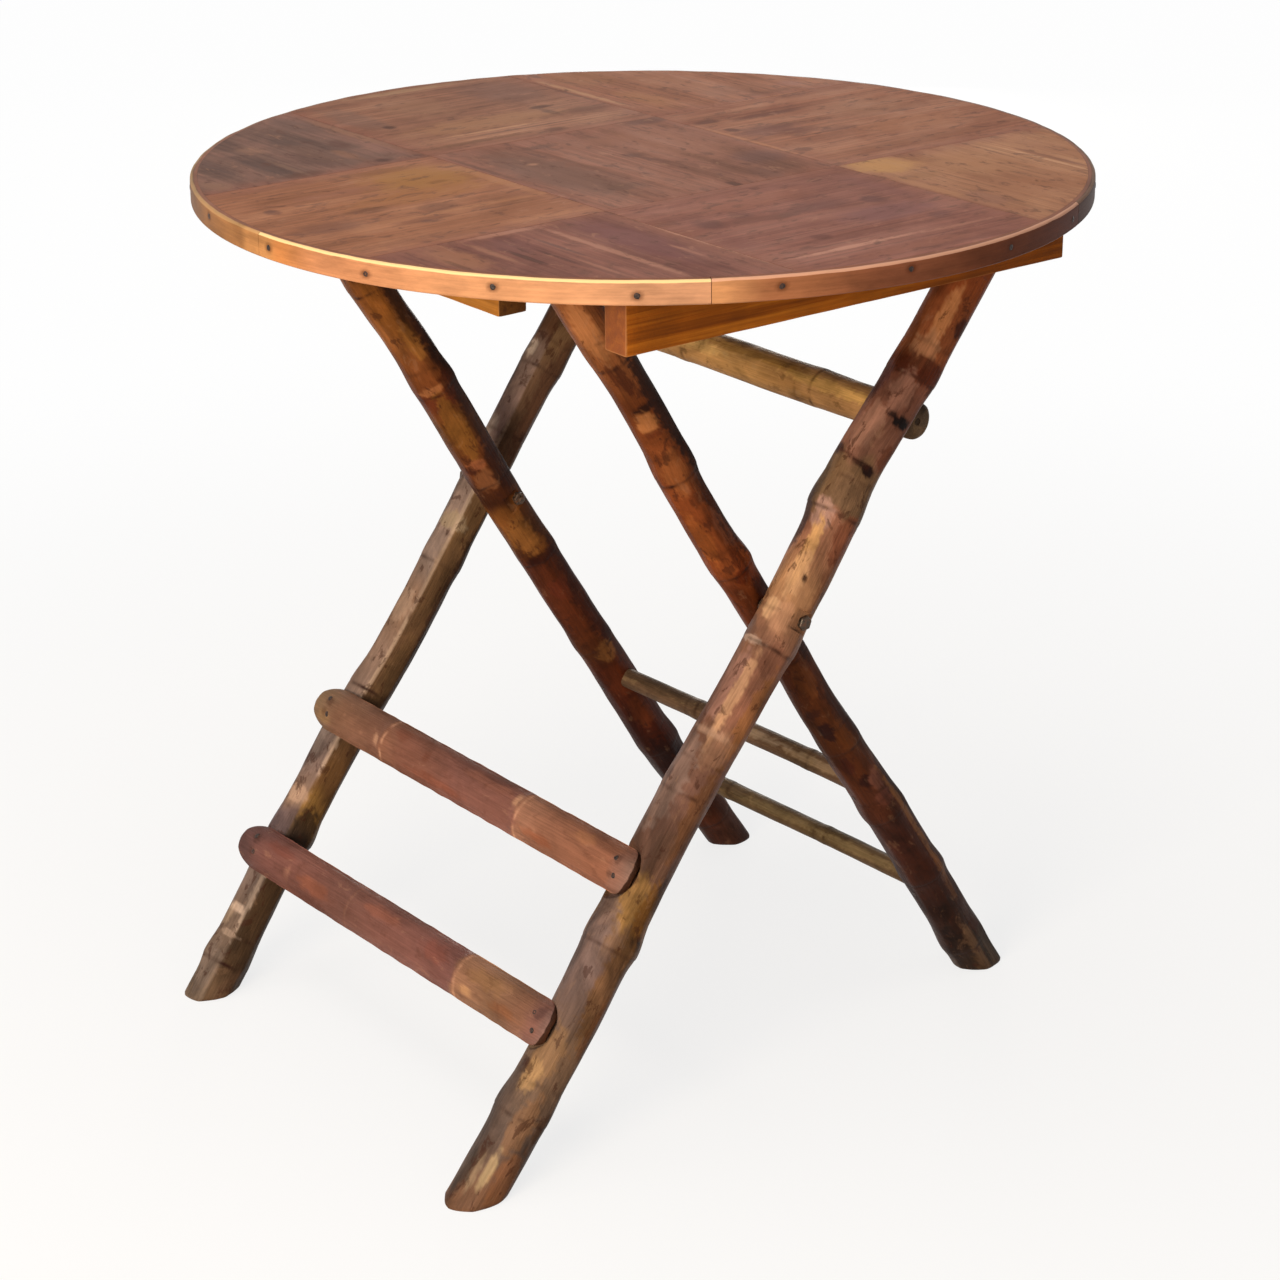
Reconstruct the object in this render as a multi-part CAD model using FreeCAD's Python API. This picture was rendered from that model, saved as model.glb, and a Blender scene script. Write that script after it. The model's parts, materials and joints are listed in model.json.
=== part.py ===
import FreeCAD, Part
import math
import os

from FreeCAD import Placement, Rotation, Vector

# Bamboo folding table, millimetres. +Z up, floor at Z = 0, origin under the middle of the top.
# The frames cross in the XZ plane and turn about axes along Y. The near side is -Y.

# Table top
table_height = 716.0
top_radius = 353.0
veneer_thickness = 3.0
board_thickness = 15.0
board_count = 3
board_names = ("left", "middle", "right")
veneer_pitch = 228.0
veneer_offset_x = -6.0
veneer_offset_y = 5.0
veneer_gap = 0.4
rim_gap = 0.1
band_thickness = 6.0
band_seams_deg = (60.0, 180.0, 239.5, 299.0)
band_seam_gap = 0.5
band_nail_count = 22
band_nail_first_deg = 198.5

# Battens and stop rail under the top
batten_thickness = 25.0
batten_height = 45.0
batten_left_x = -211.0
batten_right_overhang = 33.0
batten_nail_x = (-184.0, -24.0, 136.0)
lumber_chamfer = 1.5
rail_thickness = 25.0
rail_height = 30.0
rail_lap = 8.0
rail_clearance = 0.3
rail_nail_spacing = 110.0

# Stance of the two leg frames
outer_foot_x = -319.5
hinge_x = 185.0
hinge_drop = 21.0
inner_foot_x = 231.0
inner_top_x = -208.0
outer_leg_y = 206.0
inner_leg_y = 164.0
top_rest_gap = 0.3

# Bamboo poles: nominal girth, then the knots as (height along the pole, extra girth there)
near_outer_diameter = 41.0
near_outer_knots = ((65, 4.5), (210, 5.3), (340, 4.0), (470, 3.5), (585, 3.7))
far_outer_diameter = 38.5
far_outer_knots = ((30, 4.0), (150, 4.5), (295, 2.0), (420, 2.5), (610, 3.5))
near_inner_diameter = 35.0
near_inner_knots = ((30, 7.5), (125, 6.0), (210, 5.6), (300, 3.2), (535, 2.0))
far_inner_diameter = 36.5
far_inner_knots = ((40, 3.5), (150, 4.5), (290, 3.0), (405, 3.0), (605, 3.5))
knot_rise = 4.0
knot_reach = 4.0
foot_allowance = 40.0

# Split-bamboo slats across the outer legs
slat_heights = {"slat_upper": 267.0, "slat_lower": 134.0}
slat_near_overhang = {"slat_upper": 8.0, "slat_lower": 5.0}
slat_far_overhang = {"slat_upper": 19.0, "slat_lower": 22.0}
slat_knots = {"slat_upper": (-70.0, 120.0), "slat_lower": (-95.0, 60.0)}
slat_width = 38.0
slat_arch = 11.0
slat_wall = 6.0
slat_knot_rise = 1.0
slat_knot_reach = 4.0
slat_corner_radius = 12.0
slat_seat_depth = 1.0
seat_clearance = 0.2

# Stretcher behind the outer legs, rungs between the inner legs
stretcher_diameter = 32.0
stretcher_height = 683.0
stretcher_overhang = {"near": -3.5, "far": 4.0}
stretcher_saddle = 2.75
rung_heights = {"rung_upper": 243.0, "rung_lower": 112.0}
rung_diameters = {"rung_upper": 18.5, "rung_lower": 17.0}
rung_tenon_past_axis = 6.0

# Fasteners
running_fit = 0.06
bolt_diameter = 6.0
bolt_head_across_flats = 11.0
bolt_head_height = 4.0
bolt_end_length = 3.0
nut_across_flats = 10.0
nut_height = 5.0
spacer_diameter = 16.0
face_depth = 2.5
hinge_screw_diameter = 6.0
hinge_screw_across_flats = 12.0
hinge_screw_head_height = 3.5
hinge_screw_past_axis = 9.0
hinge_face_offset = 18.5
hinge_end_gap = 1.0
hinge_flat_margin = 12.0
nail_shank = 2.4
nail_point = 0.8
nail_head_width = 6.0
nail_head_top = 3.2
nail_head_height = 1.2
nail_stand_off = 0.3
nail_bite = 11.0
band_nail_length = 26.0
slat_nail_length = 42.0
slat_nail_spread = 13.0
slat_nail_stagger = 6.0
slat_nail_inset = {"near": 11.0, "far": 0.0}
stretcher_nail_inset = 13.0
rung_nail_length = 26.0

# Heights and places that follow from the sizes above
underside_z = table_height - veneer_thickness - board_thickness
board_radius = top_radius - band_thickness
hinge_z = underside_z - hinge_drop
batten_inner_y = outer_leg_y + hinge_face_offset
batten_outer_y = batten_inner_y + batten_thickness
outer_slope = (hinge_x - outer_foot_x) / hinge_z
inner_slope = (inner_top_x - inner_foot_x) / underside_z
pivot_z = (inner_foot_x - outer_foot_x) / (outer_slope - inner_slope)
pivot_x = outer_foot_x + outer_slope * pivot_z
reach = 4 * top_radius

up = Vector(0, 0, 1)
along_y = Vector(0, 1, 0)
sides = {"near": -1, "far": 1}
hex_corner = 2 / math.sqrt(3)


class LegLine:
    """Straight line of a leg frame: s runs up the pole, y across, n square to both."""

    def __init__(self, foot_x, toward_x, toward_z):
        self.foot = Vector(foot_x, 0, 0)
        self.direction = Vector(toward_x - foot_x, 0, toward_z).normalize()
        self.normal = self.direction.cross(along_y)
        self.length = math.hypot(toward_x - foot_x, toward_z)

    def point(self, s, y=0.0, n=0.0):
        return self.foot + self.direction * s + along_y * y + self.normal * n

    def placement(self, s, y=0.0, n=0.0):
        rotation = Rotation(self.direction, along_y, self.normal, "XYZ")
        return Placement(self.point(s, y, n), rotation)


outer_line = LegLine(outer_foot_x, hinge_x, hinge_z)
inner_line = LegLine(inner_foot_x, inner_top_x, underside_z)


def cylinder(radius, start, end):
    axis = end - start
    return Part.makeCylinder(radius, axis.Length, start, axis)


def cylinder_y(radius, x, z, y_start, y_end):
    return cylinder(radius, Vector(x, y_start, z), Vector(x, y_end, z))


def box_between(low, high):
    size = high - low
    return Part.makeBox(size.x, size.y, size.z, low)


def chamfered_box(low, high):
    box = box_between(low, high)
    return box.makeChamfer(lumber_chamfer, box.Edges)


def revolved(profile):
    """Solid of revolution about Z from (radius, z) points."""
    points = [Vector(radius, 0, z) for radius, z in profile]
    face = Part.Face(Part.makePolygon(points + points[:1]))
    return face.revolve(Vector(), up, 360)


def aimed(shape, point, direction):
    """The shape, made along +Z, stood at a point and aimed along a direction."""
    copy = shape.copy()
    copy.Placement = Placement(point, Rotation(up, direction))
    return copy


def square(width, z):
    half = width / 2
    corners = [Vector(half, half, z), Vector(-half, half, z),
               Vector(-half, -half, z), Vector(half, -half, z)]
    return Part.makePolygon(corners + corners[:1])


def frustum(low, high):
    """Solid between two squares, with flat sides."""
    pairs = zip(low.OrderedVertexes, high.OrderedVertexes)
    rails = [(foot.Point, head.Point) for foot, head in pairs]
    faces_made = [Part.Face(low), Part.Face(high)]
    for (foot, head), (next_foot, next_head) in zip(rails, rails[1:] + rails[:1]):
        faces_made.append(Part.Face(Part.makePolygon([foot, next_foot, next_head, head, foot])))
    return Part.makeSolid(Part.makeShell(faces_made))


def nail(length):
    """Cut nail, square all through: hammered head above Z = 0, tapering shank below."""
    shank = frustum(square(nail_point, -length), square(nail_shank, 0))
    head = frustum(square(nail_head_width, 0), square(nail_head_top, nail_head_height))
    return shank.fuse(head)


def save(name, solids):
    shape = solids[0] if len(solids) == 1 else Part.makeCompound(solids)
    shape.exportStep("parts/" + name + ".step")
    volume = sum(solid.Volume for solid in solids)
    print(name, len(solids), "solids", round(volume / 1000, 1), "cm3", "valid", shape.isValid())


# Bamboo poles

def pole_girths(diameter, knots):
    """Plain diameter of each internode, from the foot up."""
    return [diameter + extra - knot_rise for _, extra in knots[:1] + knots]


def pole(line, y, diameter, knots, length):
    """Knotted pole along a leg line: even internodes, a swelling with a crest at every knot."""
    girths = pole_girths(diameter, knots)
    profile = [(0, -foot_allowance), (girths[0] / 2, -foot_allowance)]
    for (s, extra), below, above in zip(knots, girths, girths[1:]):
        profile.append((below / 2, s - knot_reach))
        profile.append(((diameter + extra) / 2, s))
        profile.append((above / 2, s + knot_reach))
    profile += [(girths[-1] / 2, length), (0, length)]
    return aimed(revolved(profile), line.point(0, y), line.direction)


def floor_side():
    return box_between(Vector(-reach, -reach, -reach), Vector(reach, reach, 0))


def pivot_faces(outer_diameter, inner_diameter):
    """Distances from the middle of the flats under the bolt head, the spacer and the nut."""
    return {
        "head": outer_leg_y + outer_diameter / 2 - face_depth,
        "spacer_outer": outer_leg_y - outer_diameter / 2 + face_depth,
        "spacer_inner": inner_leg_y + inner_diameter / 2 - face_depth,
        "nut": inner_leg_y - inner_diameter / 2 + face_depth,
    }


faces = {
    "near": pivot_faces(near_outer_diameter, near_inner_diameter),
    "far": pivot_faces(far_outer_diameter, far_inner_diameter),
}
face_length = max(bolt_head_across_flats * hex_corner, spacer_diameter) + 2 * seat_clearance


def bolt_hole(side):
    radius = bolt_diameter / 2 + running_fit
    return cylinder_y(radius, pivot_x, pivot_z, 0, side * batten_outer_y)


def flat_at_pivot(line, side, from_y, to_y):
    """Slice pared off a pole so that a bolt head, spacer or nut bears flat on it."""
    low_y, high_y = sorted((side * from_y, side * to_y))
    flat = box_between(Vector(-face_length / 2, low_y, -reach), Vector(face_length / 2, high_y, reach))
    flat.Placement = line.placement(math.hypot(pivot_x - line.foot.x, pivot_z))
    return flat


# Slats, stretcher and rungs

slat_seat_n = far_outer_diameter / 2 - slat_seat_depth
stretcher_n = stretcher_saddle - far_outer_diameter / 2 - stretcher_diameter / 2
slat_outer_radius = (slat_width ** 2 / 4 + slat_arch ** 2) / (2 * slat_arch)
slat_axis_drop = slat_outer_radius - slat_arch


def split_culm(near_y, far_y, knots):
    """Length of bamboo split along its grain: part of a hollow culm above the plane Z = 0."""
    profile = [(0, near_y), (slat_outer_radius, near_y)]
    for knot_y in knots:
        profile.append((slat_outer_radius, knot_y - slat_knot_reach))
        profile.append((slat_outer_radius + slat_knot_rise, knot_y))
        profile.append((slat_outer_radius, knot_y + slat_knot_reach))
    profile += [(slat_outer_radius, far_y), (0, far_y)]
    culm = aimed(revolved(profile), Vector(0, 0, -slat_axis_drop), along_y)
    hollow = cylinder(slat_outer_radius - slat_wall, Vector(0, near_y, -slat_axis_drop),
                      Vector(0, far_y, -slat_axis_drop))
    below = box_between(Vector(-slat_width, near_y, -slat_width * 2), Vector(slat_width, far_y, 0))
    return culm.cut([hollow, below])


def slat_plan(near_y, far_y):
    """Outline of the slat from above: far end round, near end with rounded corners."""
    half = slat_width / 2 + slat_knot_rise
    corner = slat_corner_radius
    straight = far_y - half
    near_bend = corner * (1 - math.sqrt(0.5))
    left_foot, left_top = Vector(-half, near_y + corner, 0), Vector(-half, straight, 0)
    right_foot, right_top = Vector(half, near_y + corner, 0), Vector(half, straight, 0)
    near_left, near_right = Vector(corner - half, near_y, 0), Vector(half - corner, near_y, 0)
    near_left_bend = Vector(near_bend - half, near_y + near_bend, 0)
    near_right_bend = Vector(half - near_bend, near_y + near_bend, 0)
    outline = Part.Wire([
        Part.LineSegment(left_foot, left_top).toShape(),
        Part.Arc(left_top, Vector(0, far_y, 0), right_top).toShape(),
        Part.LineSegment(right_top, right_foot).toShape(),
        Part.Arc(right_foot, near_right_bend, near_right).toShape(),
        Part.LineSegment(near_right, near_left).toShape(),
        Part.Arc(near_left, near_left_bend, left_foot).toShape(),
    ])
    return Part.Face(outline).extrude(up * slat_width)


def slat_nail_places(name):
    """Point on the skin and direction out of it for two nails into each leg."""
    places = []
    for side_name, side in sides.items():
        for step in (-1, 1):
            lean = math.asin(step * slat_nail_spread / 2 / slat_outer_radius)
            outward = outer_line.direction * math.sin(lean) + outer_line.normal * math.cos(lean)
            nail_y = side * (outer_leg_y - slat_nail_inset[side_name]) + step * slat_nail_stagger / 2
            axis_point = outer_line.point(slat_heights[name], nail_y, slat_seat_n - slat_axis_drop)
            places.append((axis_point + outward * (slat_outer_radius + nail_stand_off), outward))
    return places


def make_slat(name):
    near_y = -outer_leg_y - slat_near_overhang[name]
    far_y = outer_leg_y + slat_far_overhang[name]
    body = split_culm(near_y, far_y, slat_knots[name])
    body = body.common(slat_plan(near_y, far_y))
    body.Placement = outer_line.placement(slat_heights[name], 0, slat_seat_n)
    return body


slat_nails = []
for slat_name in slat_heights:
    for nail_at, outward in slat_nail_places(slat_name):
        slat_nails.append(aimed(nail(slat_nail_length), nail_at, outward))

stretcher_axis = [
    outer_line.point(stretcher_height, side * (outer_leg_y + stretcher_overhang[side_name]), stretcher_n)
    for side_name, side in sides.items()
]
stretcher_back_n = stretcher_n - stretcher_diameter / 2 - nail_stand_off
stretcher_nail_length = stretcher_diameter + nail_bite
stretcher_nails = []
for side in sides.values():
    nail_at = outer_line.point(stretcher_height, side * (outer_leg_y - stretcher_nail_inset), stretcher_back_n)
    stretcher_nails.append(aimed(nail(stretcher_nail_length), nail_at, -outer_line.normal))

rung_end_y = inner_leg_y + rung_tenon_past_axis


def rung_solid(name, clearance):
    end_y = rung_end_y + clearance
    start = inner_line.point(rung_heights[name], -end_y)
    end = inner_line.point(rung_heights[name], end_y)
    return cylinder(rung_diameters[name] / 2 + clearance, start, end)


def pole_skin_n(diameter, knots, s):
    """Distance of a plain internode's skin from the leg line at a height."""
    passed = [0] + [index for index, (knot_s, _) in enumerate(knots, start=1) if knot_s < s]
    return pole_girths(diameter, knots)[passed[-1]] / 2


inner_girths = {
    "near": (near_inner_diameter, near_inner_knots),
    "far": (far_inner_diameter, far_inner_knots),
}
rung_nails = []
for rung_name, rung_s in rung_heights.items():
    for side_name, side in sides.items():
        skin = pole_skin_n(*inner_girths[side_name], rung_s) + nail_stand_off
        nail_at = inner_line.point(rung_s, side * inner_leg_y, skin)
        rung_nails.append(aimed(nail(rung_nail_length), nail_at, inner_line.normal))


def make_outer_leg(side_name, diameter, knots):
    side = sides[side_name]
    body = pole(outer_line, side * outer_leg_y, diameter, knots, outer_line.length + foot_allowance)
    end_radius = hinge_drop - hinge_end_gap
    past_hinge = Part.makeBox(reach, reach, reach, Vector(0, -reach / 2, -reach / 2))
    past_hinge.Placement = outer_line.placement(outer_line.length).multiply(past_hinge.Placement)
    round_end = cylinder_y(end_radius, hinge_x, hinge_z, -reach, reach)
    cuts = [floor_side(), past_hinge.cut(round_end)]
    for centre in slat_heights.values():
        seat = Part.makeBox(slat_width + 2 * seat_clearance, reach, reach,
                            Vector(-slat_width / 2 - seat_clearance, -reach / 2, 0))
        seat.Placement = outer_line.placement(centre, 0, slat_seat_n)
        cuts.append(seat)
    cuts.append(cylinder(stretcher_diameter / 2 + running_fit, *stretcher_axis))
    face = faces[side_name]
    cuts.append(bolt_hole(side))
    cuts.append(flat_at_pivot(outer_line, side, face["head"], reach))
    cuts.append(flat_at_pivot(outer_line, side, inner_leg_y, face["spacer_outer"]))
    hinge_hole_end = side * (outer_leg_y - hinge_screw_past_axis - running_fit)
    cuts.append(cylinder_y(hinge_screw_diameter / 2 + running_fit, hinge_x, hinge_z, hinge_hole_end,
                           side * batten_outer_y))
    cuts.append(hinge_flat(side))
    return body.cut(cuts)


def hinge_flat(side):
    """What is pared off the upper end of an outer leg, as far down as the batten covers it."""
    ends = sorted((side * batten_inner_y, side * batten_outer_y))
    low_z = underside_z - batten_height - hinge_flat_margin
    return box_between(Vector(-reach, ends[0], low_z), Vector(reach, ends[1], underside_z))


def make_inner_leg(side_name, diameter, knots):
    side = sides[side_name]
    body = pole(inner_line, side * inner_leg_y, diameter, knots, inner_line.length + foot_allowance)
    above_top = box_between(Vector(-reach, -reach, underside_z - top_rest_gap), Vector(reach, reach, reach))
    cuts = [floor_side(), above_top, bolt_hole(side)]
    face = faces[side_name]
    cuts.append(flat_at_pivot(inner_line, side, face["spacer_inner"], outer_leg_y))
    cuts.append(flat_at_pivot(inner_line, side, 0, face["nut"]))
    cuts += [rung_solid(name, running_fit) for name in rung_heights]
    return body.cut(cuts)


def hexagon(across_flats, x, z, y_start, y_end):
    radius = across_flats * hex_corner / 2
    corners = []
    for index in range(7):
        angle = math.radians(60 * index)
        corners.append(Vector(x + radius * math.cos(angle), y_start, z + radius * math.sin(angle)))
    return Part.Face(Part.makePolygon(corners)).extrude(along_y * (y_end - y_start))


def make_bolt(side, face):
    head = hexagon(bolt_head_across_flats, pivot_x, pivot_z,
                   side * face["head"], side * (face["head"] + bolt_head_height))
    end_y = face["nut"] - nut_height - bolt_end_length
    shank = cylinder_y(bolt_diameter / 2, pivot_x, pivot_z, side * face["head"], side * end_y)
    return head.fuse(shank)


def make_spacer(side, face):
    ends = (side * face["spacer_inner"], side * face["spacer_outer"])
    return cylinder_y(spacer_diameter / 2, pivot_x, pivot_z, *ends).cut(bolt_hole(side))


def make_nut(side, face):
    ends = (side * face["nut"], side * (face["nut"] - nut_height))
    return hexagon(nut_across_flats, pivot_x, pivot_z, *ends).cut(bolt_hole(side))


def make_hinge_screw(side):
    head = hexagon(hinge_screw_across_flats, hinge_x, hinge_z,
                   side * batten_outer_y, side * (batten_outer_y + hinge_screw_head_height))
    end_y = outer_leg_y - hinge_screw_past_axis
    shank = cylinder_y(hinge_screw_diameter / 2, hinge_x, hinge_z, side * batten_outer_y, side * end_y)
    return head.fuse(shank)


# Table top

board_width = 2 * board_radius / board_count
batten_right_x = hinge_x + batten_right_overhang
batten_nail_length = batten_height + nail_bite
rail_nail_length = rail_height + nail_bite

band_nails = []
for index in range(band_nail_count):
    angle = math.radians(band_nail_first_deg + 360 * index / band_nail_count)
    outward = Vector(math.cos(angle), math.sin(angle), 0)
    nail_at = outward * top_radius + up * ((table_height + underside_z) / 2)
    band_nails.append(aimed(nail(band_nail_length), nail_at, outward))

batten_nails = []
for side in sides.values():
    for nail_x in batten_nail_x:
        nail_y = side * (batten_inner_y + batten_thickness / 2)
        nail_at = Vector(nail_x, nail_y, underside_z - batten_height)
        batten_nails.append(aimed(nail(batten_nail_length), nail_at, -up))

inner_top_radius = max(
    near_inner_diameter + near_inner_knots[-1][1] - knot_rise,
    far_inner_diameter + far_inner_knots[-1][1] - knot_rise,
) / 2
rail_end_y = inner_leg_y - inner_top_radius + rail_lap
rail_chord = math.sqrt(inner_top_radius ** 2 - (inner_leg_y - rail_end_y) ** 2)
rail_inner_x = inner_top_x - rail_chord / inner_line.direction.z - rail_clearance
rail_nails = []
for step in (-1, 0, 1):
    nail_at = Vector(rail_inner_x - rail_thickness / 2, step * rail_nail_spacing, underside_z - rail_height)
    rail_nails.append(aimed(nail(rail_nail_length), nail_at, -up))


def disc(radius, low_z, high_z):
    return cylinder(radius, Vector(0, 0, low_z), Vector(0, 0, high_z))


def make_board(index):
    left = -board_radius + index * board_width
    strip = box_between(Vector(left, -board_radius, underside_z),
                        Vector(left + board_width, board_radius, underside_z + board_thickness))
    return strip.common(disc(board_radius, underside_z, underside_z + board_thickness))


def make_veneer(column, row):
    low_z = table_height - veneer_thickness
    middle_x = veneer_offset_x + column * veneer_pitch
    middle_y = veneer_offset_y + row * veneer_pitch
    half_x = veneer_pitch / 2 - veneer_gap / 2
    low_x, high_x = middle_x - half_x, middle_x + half_x
    low_y, high_y = middle_y - half_x, middle_y + half_x
    if column:
        low_x, high_x = (low_x, top_radius) if column > 0 else (-top_radius, high_x)
    if row:
        low_y, high_y = (low_y, top_radius) if row > 0 else (-top_radius, high_y)
    sheet = box_between(Vector(low_x, low_y, low_z), Vector(high_x, high_y, table_height))
    return sheet.common(disc(board_radius - rim_gap, low_z, table_height))


def make_band(start_deg, end_deg):
    """Bent strip round the rim, from one butt seam to the next."""
    gap_deg = math.degrees(band_seam_gap / top_radius)
    corners = [Vector(board_radius, 0, underside_z), Vector(top_radius, 0, underside_z),
               Vector(top_radius, 0, table_height), Vector(board_radius, 0, table_height)]
    strip = Part.Face(Part.makePolygon(corners + corners[:1]))
    strip.rotate(Vector(), up, start_deg + gap_deg / 2)
    return strip.revolve(Vector(), up, end_deg - start_deg - gap_deg)


def make_batten(side):
    ends = sorted((side * batten_inner_y, side * batten_outer_y))
    low = Vector(batten_left_x, ends[0], underside_z - batten_height)
    body = chamfered_box(low, Vector(batten_right_x, ends[1], underside_z))
    hinge_hole = cylinder_y(hinge_screw_diameter / 2 + running_fit, hinge_x, hinge_z, 0, side * reach)
    return body.cut(hinge_hole)


def make_rail():
    low = Vector(rail_inner_x - rail_thickness, -rail_end_y, underside_z - rail_height)
    return chamfered_box(low, Vector(rail_inner_x, rail_end_y, underside_z))


os.makedirs("parts", exist_ok=True)

save("leg_outer_near", [make_outer_leg("near", near_outer_diameter, near_outer_knots)])
save("leg_outer_far", [make_outer_leg("far", far_outer_diameter, far_outer_knots)])
save("leg_inner_near", [make_inner_leg("near", near_inner_diameter, near_inner_knots)])
save("leg_inner_far", [make_inner_leg("far", far_inner_diameter, far_inner_knots)])

for slat_name in slat_heights:
    save(slat_name, [make_slat(slat_name)])
save("slat_nails", slat_nails)
save("upper_stretcher", [cylinder(stretcher_diameter / 2, *stretcher_axis)])
save("stretcher_nails", stretcher_nails)
for rung_name in rung_heights:
    save(rung_name, [rung_solid(rung_name, 0.0)])
save("rung_nails", rung_nails)

save("pivot_bolts", [make_bolt(side, faces[name]) for name, side in sides.items()])
save("pivot_nuts", [make_nut(side, faces[name]) for name, side in sides.items()])
save("pivot_spacers", [make_spacer(side, faces[name]) for name, side in sides.items()])
save("hinge_screws", [make_hinge_screw(side) for side in sides.values()])

for board_index, board_name in enumerate(board_names):
    save("top_board_" + board_name, [make_board(board_index)])
veneer_names = {
    (0, 0): "centre", (-1, 0): "left", (1, 0): "right", (0, -1): "front", (0, 1): "back",
    (-1, -1): "front_left", (1, -1): "front_right", (-1, 1): "back_left", (1, 1): "back_right",
}
for (veneer_column, veneer_row), veneer_name in veneer_names.items():
    save("veneer_" + veneer_name, [make_veneer(veneer_column, veneer_row)])
band_ends = band_seams_deg[1:] + (band_seams_deg[0] + 360,)
save("edge_bands", [make_band(start, end) for start, end in zip(band_seams_deg, band_ends)])
save("edge_band_nails", band_nails)
save("batten_near", [make_batten(sides["near"])])
save("batten_far", [make_batten(sides["far"])])
save("batten_nails", batten_nails)
save("stop_rail", [make_rail()])
save("rail_nails", rail_nails)
print("scissor pivot", round(pivot_x, 2), round(pivot_z, 2), "hinge", hinge_x, round(hinge_z, 2))
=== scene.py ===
import bmesh
import bpy
import json
import math
from mathutils import Matrix, Vector, noise


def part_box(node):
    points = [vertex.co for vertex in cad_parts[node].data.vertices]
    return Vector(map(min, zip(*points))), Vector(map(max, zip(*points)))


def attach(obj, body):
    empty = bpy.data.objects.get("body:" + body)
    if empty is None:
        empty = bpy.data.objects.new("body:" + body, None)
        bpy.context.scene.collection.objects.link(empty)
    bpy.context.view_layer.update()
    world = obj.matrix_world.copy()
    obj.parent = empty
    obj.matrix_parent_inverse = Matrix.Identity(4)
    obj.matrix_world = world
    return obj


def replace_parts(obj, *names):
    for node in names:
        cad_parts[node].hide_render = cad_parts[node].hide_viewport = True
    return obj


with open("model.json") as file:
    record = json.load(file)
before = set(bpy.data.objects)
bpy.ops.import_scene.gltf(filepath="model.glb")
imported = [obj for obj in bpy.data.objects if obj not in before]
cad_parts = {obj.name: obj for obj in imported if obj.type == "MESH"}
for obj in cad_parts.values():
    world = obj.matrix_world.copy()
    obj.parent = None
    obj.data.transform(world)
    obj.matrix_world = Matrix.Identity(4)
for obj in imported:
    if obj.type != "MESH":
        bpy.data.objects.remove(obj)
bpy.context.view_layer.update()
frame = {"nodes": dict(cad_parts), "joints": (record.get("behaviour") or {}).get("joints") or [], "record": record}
nodes = frame["nodes"]
scene = bpy.context.scene
mm = 0.001
joint = {j["name"]: Vector(j["pos_m"]) / mm for j in frame["joints"]}
mount = {m["name"]: Vector(m["pos_m"]) / mm for m in frame["record"]["mounts"]}
print("frame loaded:", len(nodes), "nodes")


# helpers

def toLinear(hexCode):
    # sRGB hex to linear RGBA
    values = [int(hexCode[i:i + 2], 16) / 255 for i in (1, 3, 5)]
    return tuple(v / 12.92 if v <= 0.04045 else ((v + 0.055) / 1.055) ** 2.4 for v in values) + (1.0,)


def addNode(tree, kind, links=None, stops=None, **settings):
    # one node: its settings, what each socket takes (a value or another socket), stops of a ramp
    node = tree.nodes.new(kind)
    for key, value in settings.items():
        setattr(node, key, value)
    for key, value in (links or {}).items():
        if isinstance(value, bpy.types.NodeSocket):
            tree.links.new(value, node.inputs[key])
        else:
            node.inputs[key].default_value = value
    if stops:
        while len(node.color_ramp.elements) < len(stops):
            node.color_ramp.elements.new(0.5)
        for element, (place, hexCode) in zip(node.color_ramp.elements, stops):
            element.position = place
            element.color = toLinear(hexCode)
    return node


def newMaterial(name):
    material = bpy.data.materials.new(name)
    material.use_nodes = True
    material.node_tree.nodes.clear()
    return material, material.node_tree


def drawnFigure(tree, place, sizesMm, shift, detail, rough, bend=0.0):
    # figure of the wood, drawn out to its own size in mm along each axis
    space = addNode(tree, "ShaderNodeMapping", {"Vector": place, "Scale": [1000 / size for size in sizesMm],
                    "Location": shift})
    return addNode(tree, "ShaderNodeTexNoise", {"Vector": space.outputs[0], "Scale": 1.0,
                   "Detail": detail, "Roughness": rough, "Distortion": bend}).outputs["Fac"]


def laidOver(tree, under, over, value, low, high, strength, curve="SMOOTHSTEP"):
    # one colour laid over another, more as a value goes from low to high
    weight = addNode(tree, "ShaderNodeMapRange", {"Value": value, "From Min": low, "From Max": high,
                     "To Min": 0.0, "To Max": strength}, interpolation_type=curve)
    return addNode(tree, "ShaderNodeMixRGB", {"Fac": weight.outputs[0], "Color1": under,
                   "Color2": over}).outputs[0]


def shaded(tree, colour, first, second):
    # a colour made darker and paler by two figures at once
    tone = addNode(tree, "ShaderNodeMath", {0: first, 1: second}, operation="MULTIPLY")
    return addNode(tree, "ShaderNodeVectorMath", {0: colour, "Scale": tone.outputs[0]},
                   operation="SCALE").outputs[0]


def offJoint(tree, coordinate, seam):
    # distance from a straight joint
    off = addNode(tree, "ShaderNodeMath", {0: coordinate, 1: seam}, operation="SUBTRACT")
    return addNode(tree, "ShaderNodeMath", {0: off.outputs[0]}, operation="ABSOLUTE").outputs[0]


def smooth(t):
    t = max(0.0, min(1.0, t))
    return t * t * (3 - 2 * t)


def mixed(a, b, t):
    return tuple(x + (y - x) * t for x, y in zip(a, b))


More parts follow.
